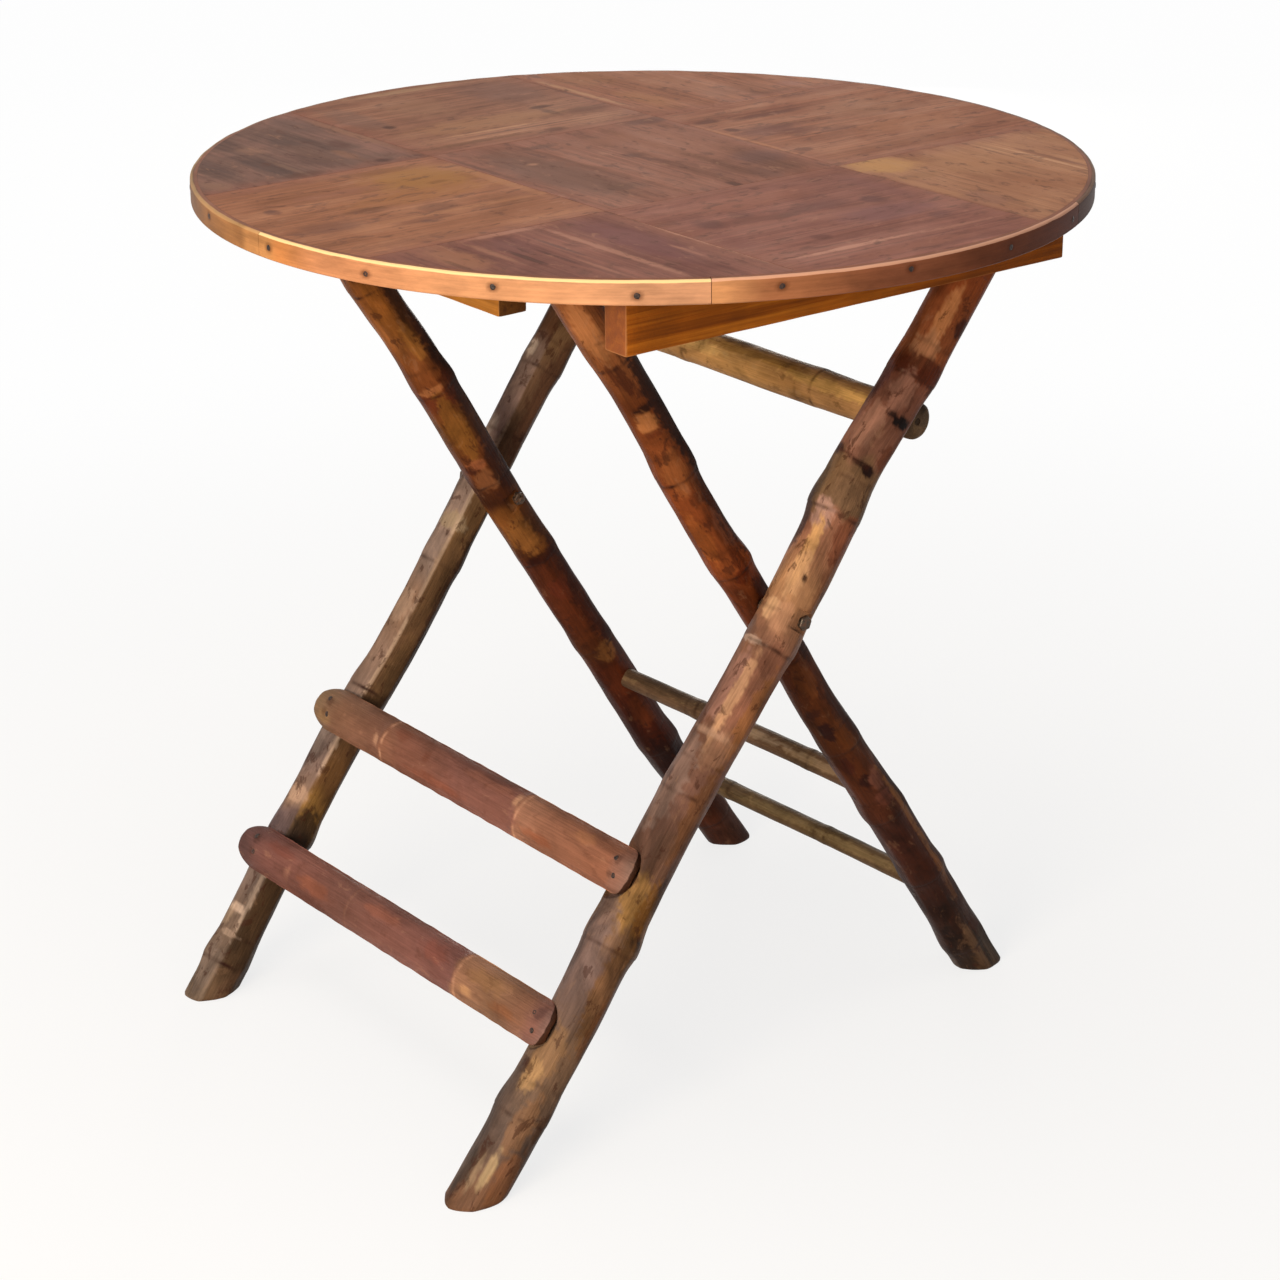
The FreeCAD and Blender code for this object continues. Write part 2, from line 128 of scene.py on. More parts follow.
def curveAt(points, x):
    # soft curve through (x, y) points, level beyond its ends
    if x <= points[0][0]:
        return points[0][1]
    for i in range(len(points) - 1):
        (x0, y0), (x1, y1) = points[i], points[i + 1]
        if x <= x1:
            before, after = points[max(i - 1, 0)], points[min(i + 2, len(points) - 1)]
            slope0 = (y1 - before[1]) / (x1 - before[0])
            slope1 = (after[1] - y0) / (after[0] - x0)
            w, t = x1 - x0, (x - x0) / (x1 - x0)
            return (y0 * (1 + 2 * t) * (1 - t) ** 2 + slope0 * w * t * (1 - t) ** 2
                    + y1 * t * t * (3 - 2 * t) + slope1 * w * t * t * (t - 1))
    return points[-1][1]


def colourAt(stops, x):
    # blend of hex stops along a length
    if x <= stops[0][0]:
        return toLinear(stops[0][1])
    for (x0, c0), (x1, c1) in zip(stops, stops[1:]):
        if x <= x1:
            return mixed(toLinear(c0), toLinear(c1), smooth((x - x0) / (x1 - x0)))
    return toLinear(stops[-1][1])


def meshPiece(name, points, faces, material, body):
    # points in mm in the CAD frame
    mesh = bpy.data.meshes.new(name)
    mesh.from_pydata([Vector(p) * mm for p in points], [], faces)
    mesh.validate()
    shell = bmesh.new()
    shell.from_mesh(mesh)
    bmesh.ops.recalc_face_normals(shell, faces=shell.faces)
    shell.to_mesh(mesh)
    shell.free()
    for polygon in mesh.polygons:
        polygon.use_smooth = True
    mesh.materials.append(material)
    piece = bpy.data.objects.new(name, mesh)
    scene.collection.objects.link(piece)
    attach(piece, body)
    return piece


def paint(piece, name, kind, values):
    # values for the points of a piece, read by its material
    field = {"FLOAT": "value", "FLOAT_VECTOR": "vector", "FLOAT_COLOR": "color"}[kind]
    flat = values if kind == "FLOAT" else [c for v in values for c in v]
    piece.data.attributes.new(name, kind, "POINT").data.foreach_set(field, flat)


def skinRings(faces, rings, count, base=0):
    # quads between rings of points that follow one another
    for j in range(rings - 1):
        for i in range(count):
            k = (i + 1) % count
            a, b = base + j * count, base + (j + 1) * count
            faces.append((a + i, a + k, b + k, b + i))


def dress(node, material):
    nodes[node].data.materials.clear()
    nodes[node].data.materials.append(material)


def keepArrises(piece, degrees):
    # smooth shading that leaves the sharp edges sharp
    piece.data.set_sharp_from_angle(angle=math.radians(degrees))


# bamboo materials

scarHex = "#2a140c"  # rim left by the sheath at a knot


def varnishedCulm(name, look):
    # smoked bamboo, scraped and varnished by hand: painted tint, which also carries painted shade, highlights and
    # sky sheen, then mottling, long fibres, dark knot rings
    material, tree = newMaterial(name)
    spot = addNode(tree, "ShaderNodeAttribute", attribute_name="poleSpot").outputs["Vector"]
    tint = addNode(tree, "ShaderNodeAttribute", attribute_name="tint").outputs["Color"]
    ring = addNode(tree, "ShaderNodeAttribute", attribute_name="ring").outputs["Fac"]

    def pattern(acrossMm, alongMm, shift, detail, rough, bend=0.0):
        # drawn out along the pole
        return drawnFigure(tree, spot, (acrossMm, acrossMm, alongMm),
                           (shift, shift * 2.5, shift * 0.4), detail, rough, bend)

    mottle = pattern(look["mottleMm"], look["mottleMm"] * 2.2, 0.0, 6.0, 0.6, 0.7)
    fibre = pattern(look["fibreMm"], 60, 0.0, 3.0, 0.6)
    blotch = pattern(11, 20, 3.1, 5.0, 0.66, 0.4)
    # patches darker and paler than the tint
    mottleTone = addNode(tree, "ShaderNodeMapRange", {"Value": mottle, "From Min": 0.36, "From Max": 0.64,
                         "To Min": 1 - look["mottle"], "To Max": 1 + look["mottle"]})
    fibreTone = addNode(tree, "ShaderNodeMapRange", {"Value": fibre, "From Min": 0.3, "From Max": 0.7,
                        "To Min": 1 - look["fibre"], "To Max": 1 + look["fibre"]})
    socket = shaded(tree, tint, mottleTone.outputs[0], fibreTone.outputs[0])
    # stains that soaked in, then places rubbed pale
    for low, high, key in ((*look["stainSpan"], "stain"), (0.42, 0.32, "rub")):
        socket = laidOver(tree, socket, toLinear(look[key + "Hex"]), blotch, low, high, look[key])
    ringRag = addNode(tree, "ShaderNodeMath", {0: ring, 1: mottleTone.outputs[0]}, operation="MULTIPLY",
                      use_clamp=True)
    ringed = addNode(tree, "ShaderNodeMixRGB", {"Fac": ringRag.outputs[0], "Color1": socket,
                     "Color2": toLinear(scarHex)})
    gloss = addNode(tree, "ShaderNodeMapRange", {"Value": mottle, "From Min": 0.3, "From Max": 0.7,
                    "To Min": look["rough"] + 0.12, "To Max": look["rough"] - 0.06})
    relief = addNode(tree, "ShaderNodeMath", {0: fibre, 1: blotch}, operation="ADD")
    bump = addNode(tree, "ShaderNodeBump", {"Height": relief.outputs[0], "Strength": 0.5,
                   "Distance": 0.0012})
    shader = addNode(tree, "ShaderNodeBsdfPrincipled", {"Base Color": ringed.outputs[0], "IOR": 1.5,
                     "Roughness": gloss.outputs[0], "Normal": bump.outputs[0],
                     "Specular IOR Level": 0.06})
    addNode(tree, "ShaderNodeOutputMaterial", {"Surface": shader.outputs[0]})
    return material


culm = varnishedCulm("smokedBambooCulm", {
    "mottleMm": 30, "mottle": 0.42, "fibreMm": 1.8, "fibre": 0.16, "stain": 0.6, "stainHex": "#381b10",
    "stainSpan": (0.57, 0.64), "rub": 0.15, "rubHex": "#a07a5e", "rough": 0.46})
splitSkin = varnishedCulm("splitBambooSkin", {
    "mottleMm": 42, "mottle": 0.26, "fibreMm": 1.4, "fibre": 0.16, "stain": 0.36, "stainHex": "#4f2c20",
    "stainSpan": (0.52, 0.72), "rub": 0.2, "rubHex": "#b5866a", "rough": 0.44})
thinCane = varnishedCulm("thinBambooCane", {
    "mottleMm": 20, "mottle": 0.3, "fibreMm": 1.3, "fibre": 0.2, "stain": 0.45, "stainHex": "#3a2614",
    "stainSpan": (0.55, 0.68), "rub": 0.25, "rubHex": "#a58860", "rough": 0.5})
print("bamboo materials made")


# bamboo poles

class PoleLine:
    # straight line of a pole: s runs along it, e1 and e2 lie across it
    def __init__(self, foot, toward, e2):
        self.foot = Vector(foot)
        self.length = (Vector(toward) - self.foot).length
        self.d = (Vector(toward) - self.foot) / self.length
        self.e2 = Vector(e2)
        self.e1 = self.d.cross(self.e2)

    def at(self, s, across1=0.0, across2=0.0):
        return self.foot + self.d * s + self.e1 * across1 + self.e2 * across2


knotSpan = 2.6  # from the lower scar of a knot to the upper one, in ridges
patchStrength = 0.75
culmEnd = ("#7d6042", "#23160e")  # sawn wall of the culm, and the hollow in it
poleSteps = {"knot": 1.0, "nearKnot": 1.8, "plain": 2.4}


def poleRows(pole, length):
    # ring places along the pole, closer at knots and cut edges
    marks = list(pole.get("cuts", []))
    for place, rise, side in pole["knots"]:
        marks += [place, place + pole["ridge"] * knotSpan]
    rows, s = [], 0.0
    while s < length:
        rows.append(s)
        near = min((abs(s - mark) for mark in marks), default=99)
        s += poleSteps["knot" if near < 3.5 else "nearKnot" if near < 9 else "plain"]
    return rows + [length]


def poleRadius(pole, s, angle):
    # girth, knots with a bud on one side, flats left by the scraping knife, and unevenness
    r = curveAt(pole["girth"], s) / 2
    ridge = pole["ridge"]
    for place, rise, side in pole["knots"]:
        t = s - place
        if -3 * ridge < t < 5 * ridge:
            swell = math.exp(-((t - ridge * 0.5) / (ridge * (1.0 if t < 0 else 1.5))) ** 2)
            r += rise / 2 * swell * (1 + 0.4 * math.cos(angle - math.radians(side)))
            r -= 0.22 * math.exp(-(t / 1.3) ** 2) + 0.12 * math.exp(-((t - ridge * knotSpan) / 1.5) ** 2)
    seed = pole["seed"]
    if "facets" in pole:
        drift = 0.3 * noise.noise(Vector((seed * 9.1, s / 110, 0.5)))
        share = ((angle - math.radians(pole["facetDeg"])) / (2 * math.pi) * pole["facets"] + drift) % 1
        r += pole["facetMm"] * ((2 * share - 1) ** 2 - 0.45)
    coarse = Vector((math.cos(angle) * 0.9, math.sin(angle) * 0.9, s / 55 + seed * 7.3))
    fine = Vector((math.cos(angle) * 2.4, math.sin(angle) * 2.4, s / 20 + seed * 3.1))
    return r + pole["uneven"] * (noise.noise(coarse) + 0.4 * noise.noise(fine))


def poleColour(pole, s, angle):
    # tint along the pole with wandering borders, then the patches painted over it; tint, grey side and patches
    # hold painted shade, highlights and sheen besides the pole's own marks
    seed = pole["seed"]
    around = Vector((math.cos(angle) * 1.3, math.sin(angle) * 1.3, s / 40 + seed))
    wander = noise.noise(around)
    colour = colourAt(pole["tint"], s + 15 * wander)
    if "face" in pole:
        # one side greyer than the rest: painted sky sheen on the lit upper left of the pole
        face = pole["face"]
        off = abs((math.degrees(angle) - face["middle"] + 180) % 360 - 180)
        weight = face["strength"] * smooth((face["half"] - off + 7 * wander) / 9 + 0.5)
        colour = mixed(colour, colourAt(face["tint"], s - 12 * wander), weight)
    ragged = None
    for place, degrees, halfS, halfA, hexCode, *force in pole["patches"]:
        if abs(s - place) > 1.7 * halfS:
            continue
        if ragged is None:
            finer = Vector((math.cos(angle) * 3, math.sin(angle) * 3, s / 7 + seed * 2.7))
            ragged = 0.34 * noise.noise(finer) + 0.3 * noise.noise(finer * 2.3)
        turn = (angle - math.radians(degrees) + math.pi) % (2 * math.pi) - math.pi
        span = math.hypot((s - place) / halfS, turn * pole["girth"][0][1] / 2 / halfA) + ragged
        weight = (force[0] if force else patchStrength) * smooth((1.15 - span) / 0.35)
        if weight > 0:
            colour = mixed(colour, toLinear(hexCode), weight)
    return colour


def knotRing(pole, s, angle):
    # dark scar lines at the lower and upper edge of each knot
    wobble = Vector((math.cos(angle) * 1.4, math.sin(angle) * 1.4, pole["seed"] * 5.7 + s / 30))
    ragged = 2.2 * noise.noise(wobble)
    fade = 0.55 + 0.9 * noise.noise(wobble * 1.9)
    dark = 0.0
    for place, rise, side in pole["knots"]:
        dark = max(dark, 0.7 * math.exp(-((s - place + ragged * 0.5) / 1.7) ** 2))
        dark = max(dark, 0.35 * math.exp(-((s - place - pole["ridge"] * knotSpan + ragged) / 2.0) ** 2))
    return max(0.0, min(1.0, dark * fade))


def bambooPole(name, pole, line, material, body, ends):
    # rings of points up the pole; ends(angle, radius, bow) says where each side of it starts and stops
    segments = pole["segments"]
    length = line.length + pole.get("past", 0)
    rows = poleRows(pole, length)
    lowZone, highZone = pole["lowZone"], length - pole["highZone"]
    points, local = [], []

    def limited(spot):
        # no lower than the floor, no higher than the boards
        spot.z = max(spot.z, pole.get("lowZ", spot.z))
        spot.z = min(spot.z, pole.get("highZ", spot.z))
        return spot

    for s in rows:
        bow = curveAt(pole["bow"], s)
        for i in range(segments):
            angle = 2 * math.pi * i / segments
            r = poleRadius(pole, s, angle)
            place = s
            if s < lowZone or s > highZone:
                start, stop = ends(angle, r, bow)
                if s < lowZone:
                    place = start + (lowZone - start) * s / lowZone
                else:
                    place = highZone + (stop - highZone) * (s - highZone) / (length - highZone)
                r = poleRadius(pole, place, angle)
                left = min(place - start, stop - place)
                if left < pole["worn"]:
                    missing = (pole["worn"] - left) / pole["worn"]
                    r -= pole["worn"] * (1 - math.sqrt(max(0.0, 1 - missing ** 2))) * 0.8
            across = [r * math.cos(angle) + bow, r * math.sin(angle)]
            for low, high, axis, sign, limit in pole.get("flats", []):
                if low <= place <= high:
                    across[axis] = min(across[axis] * sign, limit) * sign
            for middle, low, high, half, limit, slope in pole.get("seats", []):
                gap = math.hypot(place - middle, across[1] - max(low, min(high, across[1]))) - half
                across[0] = min(across[0], limit + slope * max(0.0, gap))
            points.append(limited(line.at(place, *across)))
            local.append((across[0] - bow, across[1], place, angle, bow))
    faces = []
    skinRings(faces, len(rows), segments)
    # upper end closed by strips across it, so that a rounded end stays round
    last = (len(rows) - 1) * segments
    for i in range(segments // 2):
        ring = dict.fromkeys((i, i + 1, (segments - i - 1) % segments, (segments - i) % segments))
        faces.append(tuple(last + v for v in ring))
    # lower end: the wall of the culm, then its hollow
    for deep in (0.0, pole["hollow"]):
        for i in range(segments):
            across1, across2, place, angle, bow = local[i]
            keep = max(0.25, 1 - pole["wall"] / math.hypot(across1, across2))
            points.append(limited(line.at(place * keep + deep, across1 * keep + bow, across2 * keep)))
            local.append((across1 * keep, across2 * keep, place, angle, bow))
    wall = len(rows) * segments
    for i in range(segments):
        k = (i + 1) % segments
        faces.append((i, wall + i, wall + k, k))
        faces.append((wall + i, wall + segments + i, wall + segments + k, wall + k))
    faces.append(tuple(wall + segments + i for i in range(segments)))

    piece = meshPiece(name, points, faces, material, body)
    keepArrises(piece, 50)
    tints = [poleColour(pole, place, angle) for _, _, place, angle, _ in local[:wall]]
    for hexCode in pole.get("endHex", culmEnd):
        tints += [toLinear(hexCode)] * segments
    paint(piece, "tint", "FLOAT_COLOR", tints)
    paint(piece, "ring", "FLOAT", [knotRing(pole, place, angle) for _, _, place, angle, _ in local])
    paint(piece, "poleSpot", "FLOAT_VECTOR",
          [((a + pole["seed"] * 300) * mm, b * mm, place * mm) for a, b, place, _, _ in local])
    return piece


# the four legs: mm along and across, angles round the pole in degrees
# seatN is how far out from a leg's axis the slats sit
# knots are (place, rise, side of the bud)
# patches are (place, angle, half length, half width, colour) and, where not the usual, how strong

legs = {
    "undersideZ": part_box("top_board_middle")[0].z / mm, "restGap": 0.3, "soleGap": 0.2,
    "hingeRound": 20.0, "hingeLeast": 2.0, "hingeFlat": 18.5, "hingeFlatSpan": (800.0, 900.0),
    "seatHalf": 19.2, "seatN": 18.25, "seatSlope": 1.5, "pivotHalf": 8.2,
    "slatAt": {"slat_upper": 267.0, "slat_lower": 134.0},
}
outerCulm = {"segments": 72, "worn": 1.8, "lowZone": 60.0, "highZone": 60.0, "past": 20.0}
innerCulm = {"segments": 72, "worn": 1.8, "lowZone": 50.0, "highZone": 50.0, "wall": 8.0}
nearOuter = {
    **outerCulm, "seed": 1.0, "uneven": 0.7, "ridge": 11.0, "facets": 7, "facetMm": 0.9,
    "facetDeg": -52.0, "wall": 9.0, "hollow": 46.0, "pivotFlat": 18.0,
    "girth": ((0, 43.5), (100, 41), (160, 41.5), (210, 42.3), (260, 41.6), (400, 40.4), (530, 40.8),
              (585, 41), (640, 39.7), (760, 39), (880, 38.6)),
    "knots": ((65, 3.4, 60), (210, 4.2, -120), (340, 1.7, 40), (470, 2.4, -130), (585, 4.2, 50),
              (706, 2.0, -100)),
    "bow": ((0, 6), (80, 3.5), (170, 3), (254, 7.5), (330, 8.2), (428, 4.8), (480, 3.2), (550, 5),
            (619, 9.6), (671, 6), (723, 2.5), (775, 1.5), (830, 0)),
    "tint": ((0, "#634634"), (45, "#56463e"), (110, "#66503f"), (190, "#604c46"), (240, "#725438"),
             (262, "#5c4234"), (340, "#684a3e"), (392, "#6e4c3c"), (430, "#875b48"), (470, "#7a5643"),
             (520, "#9c7352"), (575, "#8c5f4a"), (588, "#6b523c"), (622, "#6b513a"), (634, "#775141"),
             (690, "#694335"), (714, "#542a18"), (735, "#7d472a"), (790, "#7a4022"), (850, "#6e3c20")),
    # painted light among these: the broad dark and warm brown patches at -84 to -110 degrees are painted shade on
    # the side turned from the low lamp; the pale gold streaks at 552, 499 and 424 are painted highlights; the
    # grey-mauve patches on the left at 345, 226 and 192 are painted sky sheen; the near-black pair at 670 and 672
    # is a painted shadow in the gap at the stretcher's end
    "patches": (
        (758, -47, 26, 7, "#a47048"), (757, -104, 9, 8, "#38180e", 0.9), (729, -45, 15, 13, "#966a4c"),
        (714, -60, 12, 24, "#421c0e", 0.9), (697, 26, 15, 11, "#543634"), (690, -47, 19, 11, "#825c4d"),
        (670, -84, 5, 11, "#0e0604", 1.0), (672, -60, 2.5, 7, "#1c0c08", 0.9),
        (655, -18, 22, 11, "#8c6655"), (640, -100, 10, 8, "#5c3220"),
        (625, -74, 5, 6, "#1c0b06", 1.0), (627, -50, 1.6, 11, "#2c140c", 0.9),
        (632, 24, 5, 7, "#2c1814", 0.9), (630, 0, 1.6, 9, "#4a2c22"), (602, 22, 18, 12, "#66503a", 0.6),
        (604, -50, 14, 12, "#7d6048", 0.5), (572, 36, 24, 11, "#46302c"), (580, -24, 14, 9, "#ad887a"),
        (568, -92, 22, 9, "#74432e"), (552, -26, 27, 6, "#c39562", 0.9), (530, -30, 20, 9, "#b48b66"),
        (529, -48, 3, 3, "#2c150d", 0.9), (540, -105, 36, 8, "#5c3626", 0.6), (499, -8, 9, 9, "#b8926e"),
        (496, -40, 14, 10, "#a67c60", 0.6), (478, 34, 11, 14, "#5c443a"), (460, -68, 13, 13, "#674334"),
        (470, 0, 3, 14, "#b89c8a"), (432, -8, 30, 12, "#9d7669", 0.6), (424, -32, 42, 5, "#c09470"),
        (415, -95, 40, 10, "#87592f", 0.6), (392, -20, 3, 22, "#b08e78", 0.6),
        (380, -60, 16, 14, "#8e6a52", 0.5), (345, 5, 42, 15, "#7c655b"), (352, 20, 6, 5, "#57433d"),
        (330, -92, 40, 11, "#634128"), (300, -60, 14, 8, "#5d4436", 0.5), (252, -50, 22, 14, "#957040"),
        (246, -92, 24, 9, "#7d5222"), (226, -2, 26, 15, "#6c5852"), (222, -96, 5, 7, "#22120b", 0.9),
        (192, -4, 34, 14, "#65524c"), (180, -84, 46, 12, "#6a4a2c"), (150, -110, 30, 8, "#55331c", 0.6),
        (116, -32, 25, 12, "#7a5c40"), (97, -22, 14, 8, "#94744f"), (102, 12, 8, 6, "#35241c", 0.85),
        (70, 22, 32, 12, "#4b3d36"), (60, -60, 26, 10, "#7d5a3e", 0.6), (66, -106, 14, 7, "#3e2818"),
        (20, -42, 18, 4, "#96805f"), (14, -18, 18, 3, "#857058", 0.6), (18, -86, 24, 11, "#7a5034", 0.6),
        (12, 16, 22, 10, "#463a32")),
}
farOuter = {
    **outerCulm, "seed": 2.0, "uneven": 0.75, "ridge": 10.0, "facets": 6, "facetMm": 1.3,
    "facetDeg": -48.0, "wall": 8.5, "hollow": 16.0, "pivotFlat": 16.75,
    "girth": ((0, 39.5), (80, 38), (150, 38.5), (220, 38.6), (262, 39.2), (330, 36.9), (500, 36.5),
              (610, 37.3), (680, 37.4), (880, 37.6)),
    "knots": ((30, 3.0, 20), (150, 3.4, -140), (295, 1.0, 30), (420, 1.8, -130), (520, 1.0, 40),
              (610, 2.2, -120), (735, 1.0, 60)),
    "bow": ((0, -5), (90, -2), (134, -0.6), (188, -0.6), (262, -1.4), (335, -6.3), (384, -6.5),
            (443, -5.5), (492, -4), (550, -3), (600, -2), (680, -2.3), (760, -1), (830, 0)),
    # tint and face tint both turn dark from about 640 up: painted shade under the boards
    "tint": ((0, "#54402f"), (40, "#3c2c1e"), (90, "#463322"), (150, "#38281e"), (186, "#7a5a30"),
             (205, "#5f4328"), (260, "#483322"), (330, "#58402c"), (400, "#5a422c"), (460, "#6a5036"),
             (520, "#5c4432"), (600, "#5f4735"), (640, "#5f4832"), (690, "#38230f"), (850, "#34200e")),
    # face: painted sky sheen, grey on the lit upper left side
    "face": {"middle": 18, "half": 60, "strength": 0.85, "tint": (
        (0, "#6f5e50"), (60, "#68564a"), (110, "#74625a"), (145, "#5c4c4c"), (172, "#5c4c4c"),
        (186, "#7a6355"), (215, "#6c5a54"), (240, "#78665f"), (330, "#826a5c"), (375, "#8a6c58"),
        (420, "#7f6d64"), (490, "#8c776d"), (560, "#9a8076"), (590, "#9a8074"),
        (618, "#7a655b"), (645, "#42291a"), (850, "#33200f"))},
    # painted light among these: the thin pale lines at -38 to -43 degrees and the small pale spot at 622 are
    # painted highlights along the lit ridge; the dark patches at -98 and -115 degrees are painted shade on the
    # side turned from the low lamp
    "patches": (
        (622, 0, 8, 7, "#b8a594"), (584, 34, 42, 9, "#5c524f", 0.6), (590, -98, 62, 11, "#4a2e20", 0.6),
        (548, 8, 11, 10, "#a08e81"), (500, -43, 60, 2, "#b09a88", 0.6), (458, -24, 9, 17, "#8c7a62"),
        (470, 28, 16, 8, "#5d504a", 0.6), (420, -42, 60, 2, "#a48c78", 0.6), (390, -115, 80, 8, "#35231a"),
        (375, -6, 15, 11, "#a58a76", 0.6), (325, -42, 50, 2, "#ae947e", 0.6),
        (318, -82, 40, 9, "#634a30", 0.5), (240, -42, 28, 2.5, "#a48c7a", 0.7),
        (240, 4, 26, 5, "#97857c", 0.5), (189, -14, 8, 13, "#9c7f6b", 0.8),
        (196, 22, 4, 5, "#38241a"), (166, -76, 16, 12, "#2c2019"), (98, -38, 40, 2.5, "#a48f7e", 0.7),
        (78, -10, 4, 10, "#b8a08e", 0.8), (70, 14, 10, 7, "#85715f", 0.6), (56, -24, 3, 10, "#96806f", 0.6),
        (20, -10, 26, 9, "#75645a", 0.6), (10, -95, 20, 10, "#553e2e", 0.6)),
}
nearInner = {
    **innerCulm, "seed": 3.0, "uneven": 0.75, "ridge": 10.0, "facets": 6, "facetMm": 1.0,
    "facetDeg": -78.0, "hollow": 16.0, "pivotFlat": 15.0,
    "girth": ((0, 39), (30, 38.5), (80, 37.4), (125, 37.5), (210, 37), (260, 36), (300, 34.4),
              (370, 33.4), (480, 31.2), (515, 32.6), (600, 32), (700, 32), (830, 32.4)),
    "knots": ((30, 2.4, 30), (125, 2.6, -140), (210, 2.8, 40), (300, 1.4, -130), (410, 1.0, 50),
              (515, 3.0, -150), (618, 2.8, -160), (735, 1.0, -120)),
    "bow": ((0, -7.5), (92, -7.5), (200, -6.5), (278, -3), (353, -1.4), (414, -2), (484, 0),
            (541, 1), (609, 0.5), (650, -2.2), (714, -3.2), (756, -1.6), (800, 0)),
    "tint": ((0, "#42301f"), (50, "#36221a"), (110, "#33190f"), (180, "#3c1d12"), (225, "#432214"),
             (270, "#472310"), (330, "#4a260f"), (400, "#552b16"), (480, "#5e2d15"), (540, "#743c1e"),
             (600, "#6a361a"), (650, "#6a381c"), (690, "#562c14"), (760, "#7d4c2c"), (825, "#7a4a2a")),
    # painted light among these: the long dark patches at -110 to -134 degrees are painted shade on the side turned
    # from the low lamp; the thin paler streaks at 190 and 120 near -115 degrees are painted highlights along that
    # side's ridge
    "patches": (
        (775, -50, 30, 10, "#96653f", 0.6), (722, -62, 16, 5, "#38180d"), (730, -40, 12, 3, "#4a2413"),
        (692, -72, 4, 12, "#1c0b06", 0.9), (680, -56, 11, 10, "#96623a"), (668, -60, 4, 10, "#4a2210"),
        (690, -128, 70, 14, "#220f08", 0.9), (600, -134, 70, 12, "#26110a"), (627, -60, 22, 12, "#7e4a28"),
        (598, -86, 8, 10, "#43200f"), (612, -100, 14, 6, "#5a3018"), (575, -70, 5, 12, "#5a2c14"),
        (560, -34, 26, 9, "#8c4e26"), (560, -104, 22, 7, "#7d4c36", 0.6), (512, -78, 9, 8, "#42180b"),
        (528, -92, 16, 6, "#4c200e"), (473, -84, 9, 8, "#1a0a05", 0.95), (460, -66, 5, 5, "#2c1108"),
        (480, -110, 24, 9, "#40190c"), (440, -125, 40, 10, "#240f08"), (388, -70, 20, 10, "#6b3d20"),
        (352, -40, 5, 8, "#2c120a"), (328, -56, 11, 9, "#260d07", 0.95), (318, -90, 20, 10, "#5c3216"),
        (340, -128, 44, 10, "#2a130b"), (286, -46, 12, 6, "#3a170d"), (262, -72, 8, 8, "#220b06", 0.9),
        (258, -98, 13, 8, "#74493a", 0.6), (236, -88, 9, 10, "#683d30", 0.6), (232, -130, 40, 9, "#33180f"),
        (190, -116, 72, 3.5, "#80542f"), (170, -80, 50, 10, "#35190f"), (110, -60, 40, 12, "#2a140c"),
        (120, -112, 36, 4, "#6e4628", 0.6), (68, -70, 30, 12, "#231209"), (26, -84, 34, 6, "#5f4836"),
        (20, -112, 24, 5, "#4b3a2c", 0.6), (30, -40, 34, 10, "#1c110c"), (24, -98, 30, 2.5, "#191009")),
}
farInner = {
    **innerCulm, "seed": 4.0, "uneven": 0.7, "ridge": 10.0, "facets": 6, "facetMm": 1.0,
    "facetDeg": -80.0, "hollow": 26.0, "pivotFlat": 15.75,
    "girth": ((0, 37.4), (40, 36.5), (100, 36), (150, 36.6), (220, 36.2), (350, 35.8), (500, 35.9),
              (605, 36.6), (670, 34.8), (830, 35)),
    "knots": ((40, 2.0, 20), (150, 2.8, -140), (290, 1.6, 40), (405, 1.6, -120), (500, 1.2, 50),
              (605, 2.4, -140), (720, 1.0, 30)),
    "bow": ((0, 1), (75, 3.5), (135, 7), (283, 6.5), (375, 6.5), (464, 5.6), (538, 3.5), (585, 1.8),
            (654, 0), (700, 1.5), (760, 1), (800, 0)),
    "tint": ((0, "#40241a"), (60, "#432010"), (130, "#260f06"), (190, "#40190c"), (260, "#4a200f"),
             (295, "#5a3018"), (330, "#552814"), (410, "#4a2210"), (428, "#6a3f1c"), (465, "#734620"),
             (485, "#40200f"), (530, "#5c3219"), (570, "#6f451f"), (600, "#5a2b17"), (625, "#6b3c1e"),
             (670, "#80502a"), (730, "#6a3f1e"), (825, "#553012")),
    # painted light among these: the long dark patches at -112 to -130 degrees are painted shade on the side turned
    # from the low lamp
    "patches": (
        (700, -60, 40, 9, "#704318", 0.6), (660, -84, 22, 8, "#94622f"), (700, -128, 80, 13, "#341809"),
        (620, -130, 60, 12, "#30140a"), (612, -60, 4, 12, "#a26a42", 0.6), (608, -104, 15, 9, "#48200f"),
        (590, -62, 8, 9, "#3a160c"), (567, -62, 40, 9, "#7f5426", 0.6), (560, -130, 50, 12, "#341708"),
        (522, -34, 4, 9, "#34140b"), (526, -54, 6, 9, "#92583a", 0.6), (508, -58, 12, 12, "#7b4f32", 0.6),
        (514, -112, 30, 11, "#2c130b"), (440, -62, 22, 14, "#85572c"), (452, -120, 30, 10, "#35190c"),
        (410, -80, 5, 18, "#2c0f08"), (370, -70, 14, 9, "#5d2a1a", 0.6), (330, -120, 70, 11, "#33140a"),
        (285, -84, 12, 11, "#82552f"), (300, -118, 8, 7, "#2c1410"), (250, -60, 20, 10, "#602d17", 0.6),
        (205, -75, 20, 10, "#5f2f18", 0.6), (130, -70, 40, 14, "#200d09"), (60, -70, 30, 10, "#4a2618"),
        (20, -90, 24, 12, "#4a2b1e", 0.6)),
}


def legLine(foot, through, toZ):
    # from the foot through a joint's axis, up to a height
    d = Vector((through.x - foot.x, 0, through.z))
    return PoleLine(foot, foot + d * (toZ / d.z), (0, 1, 0))


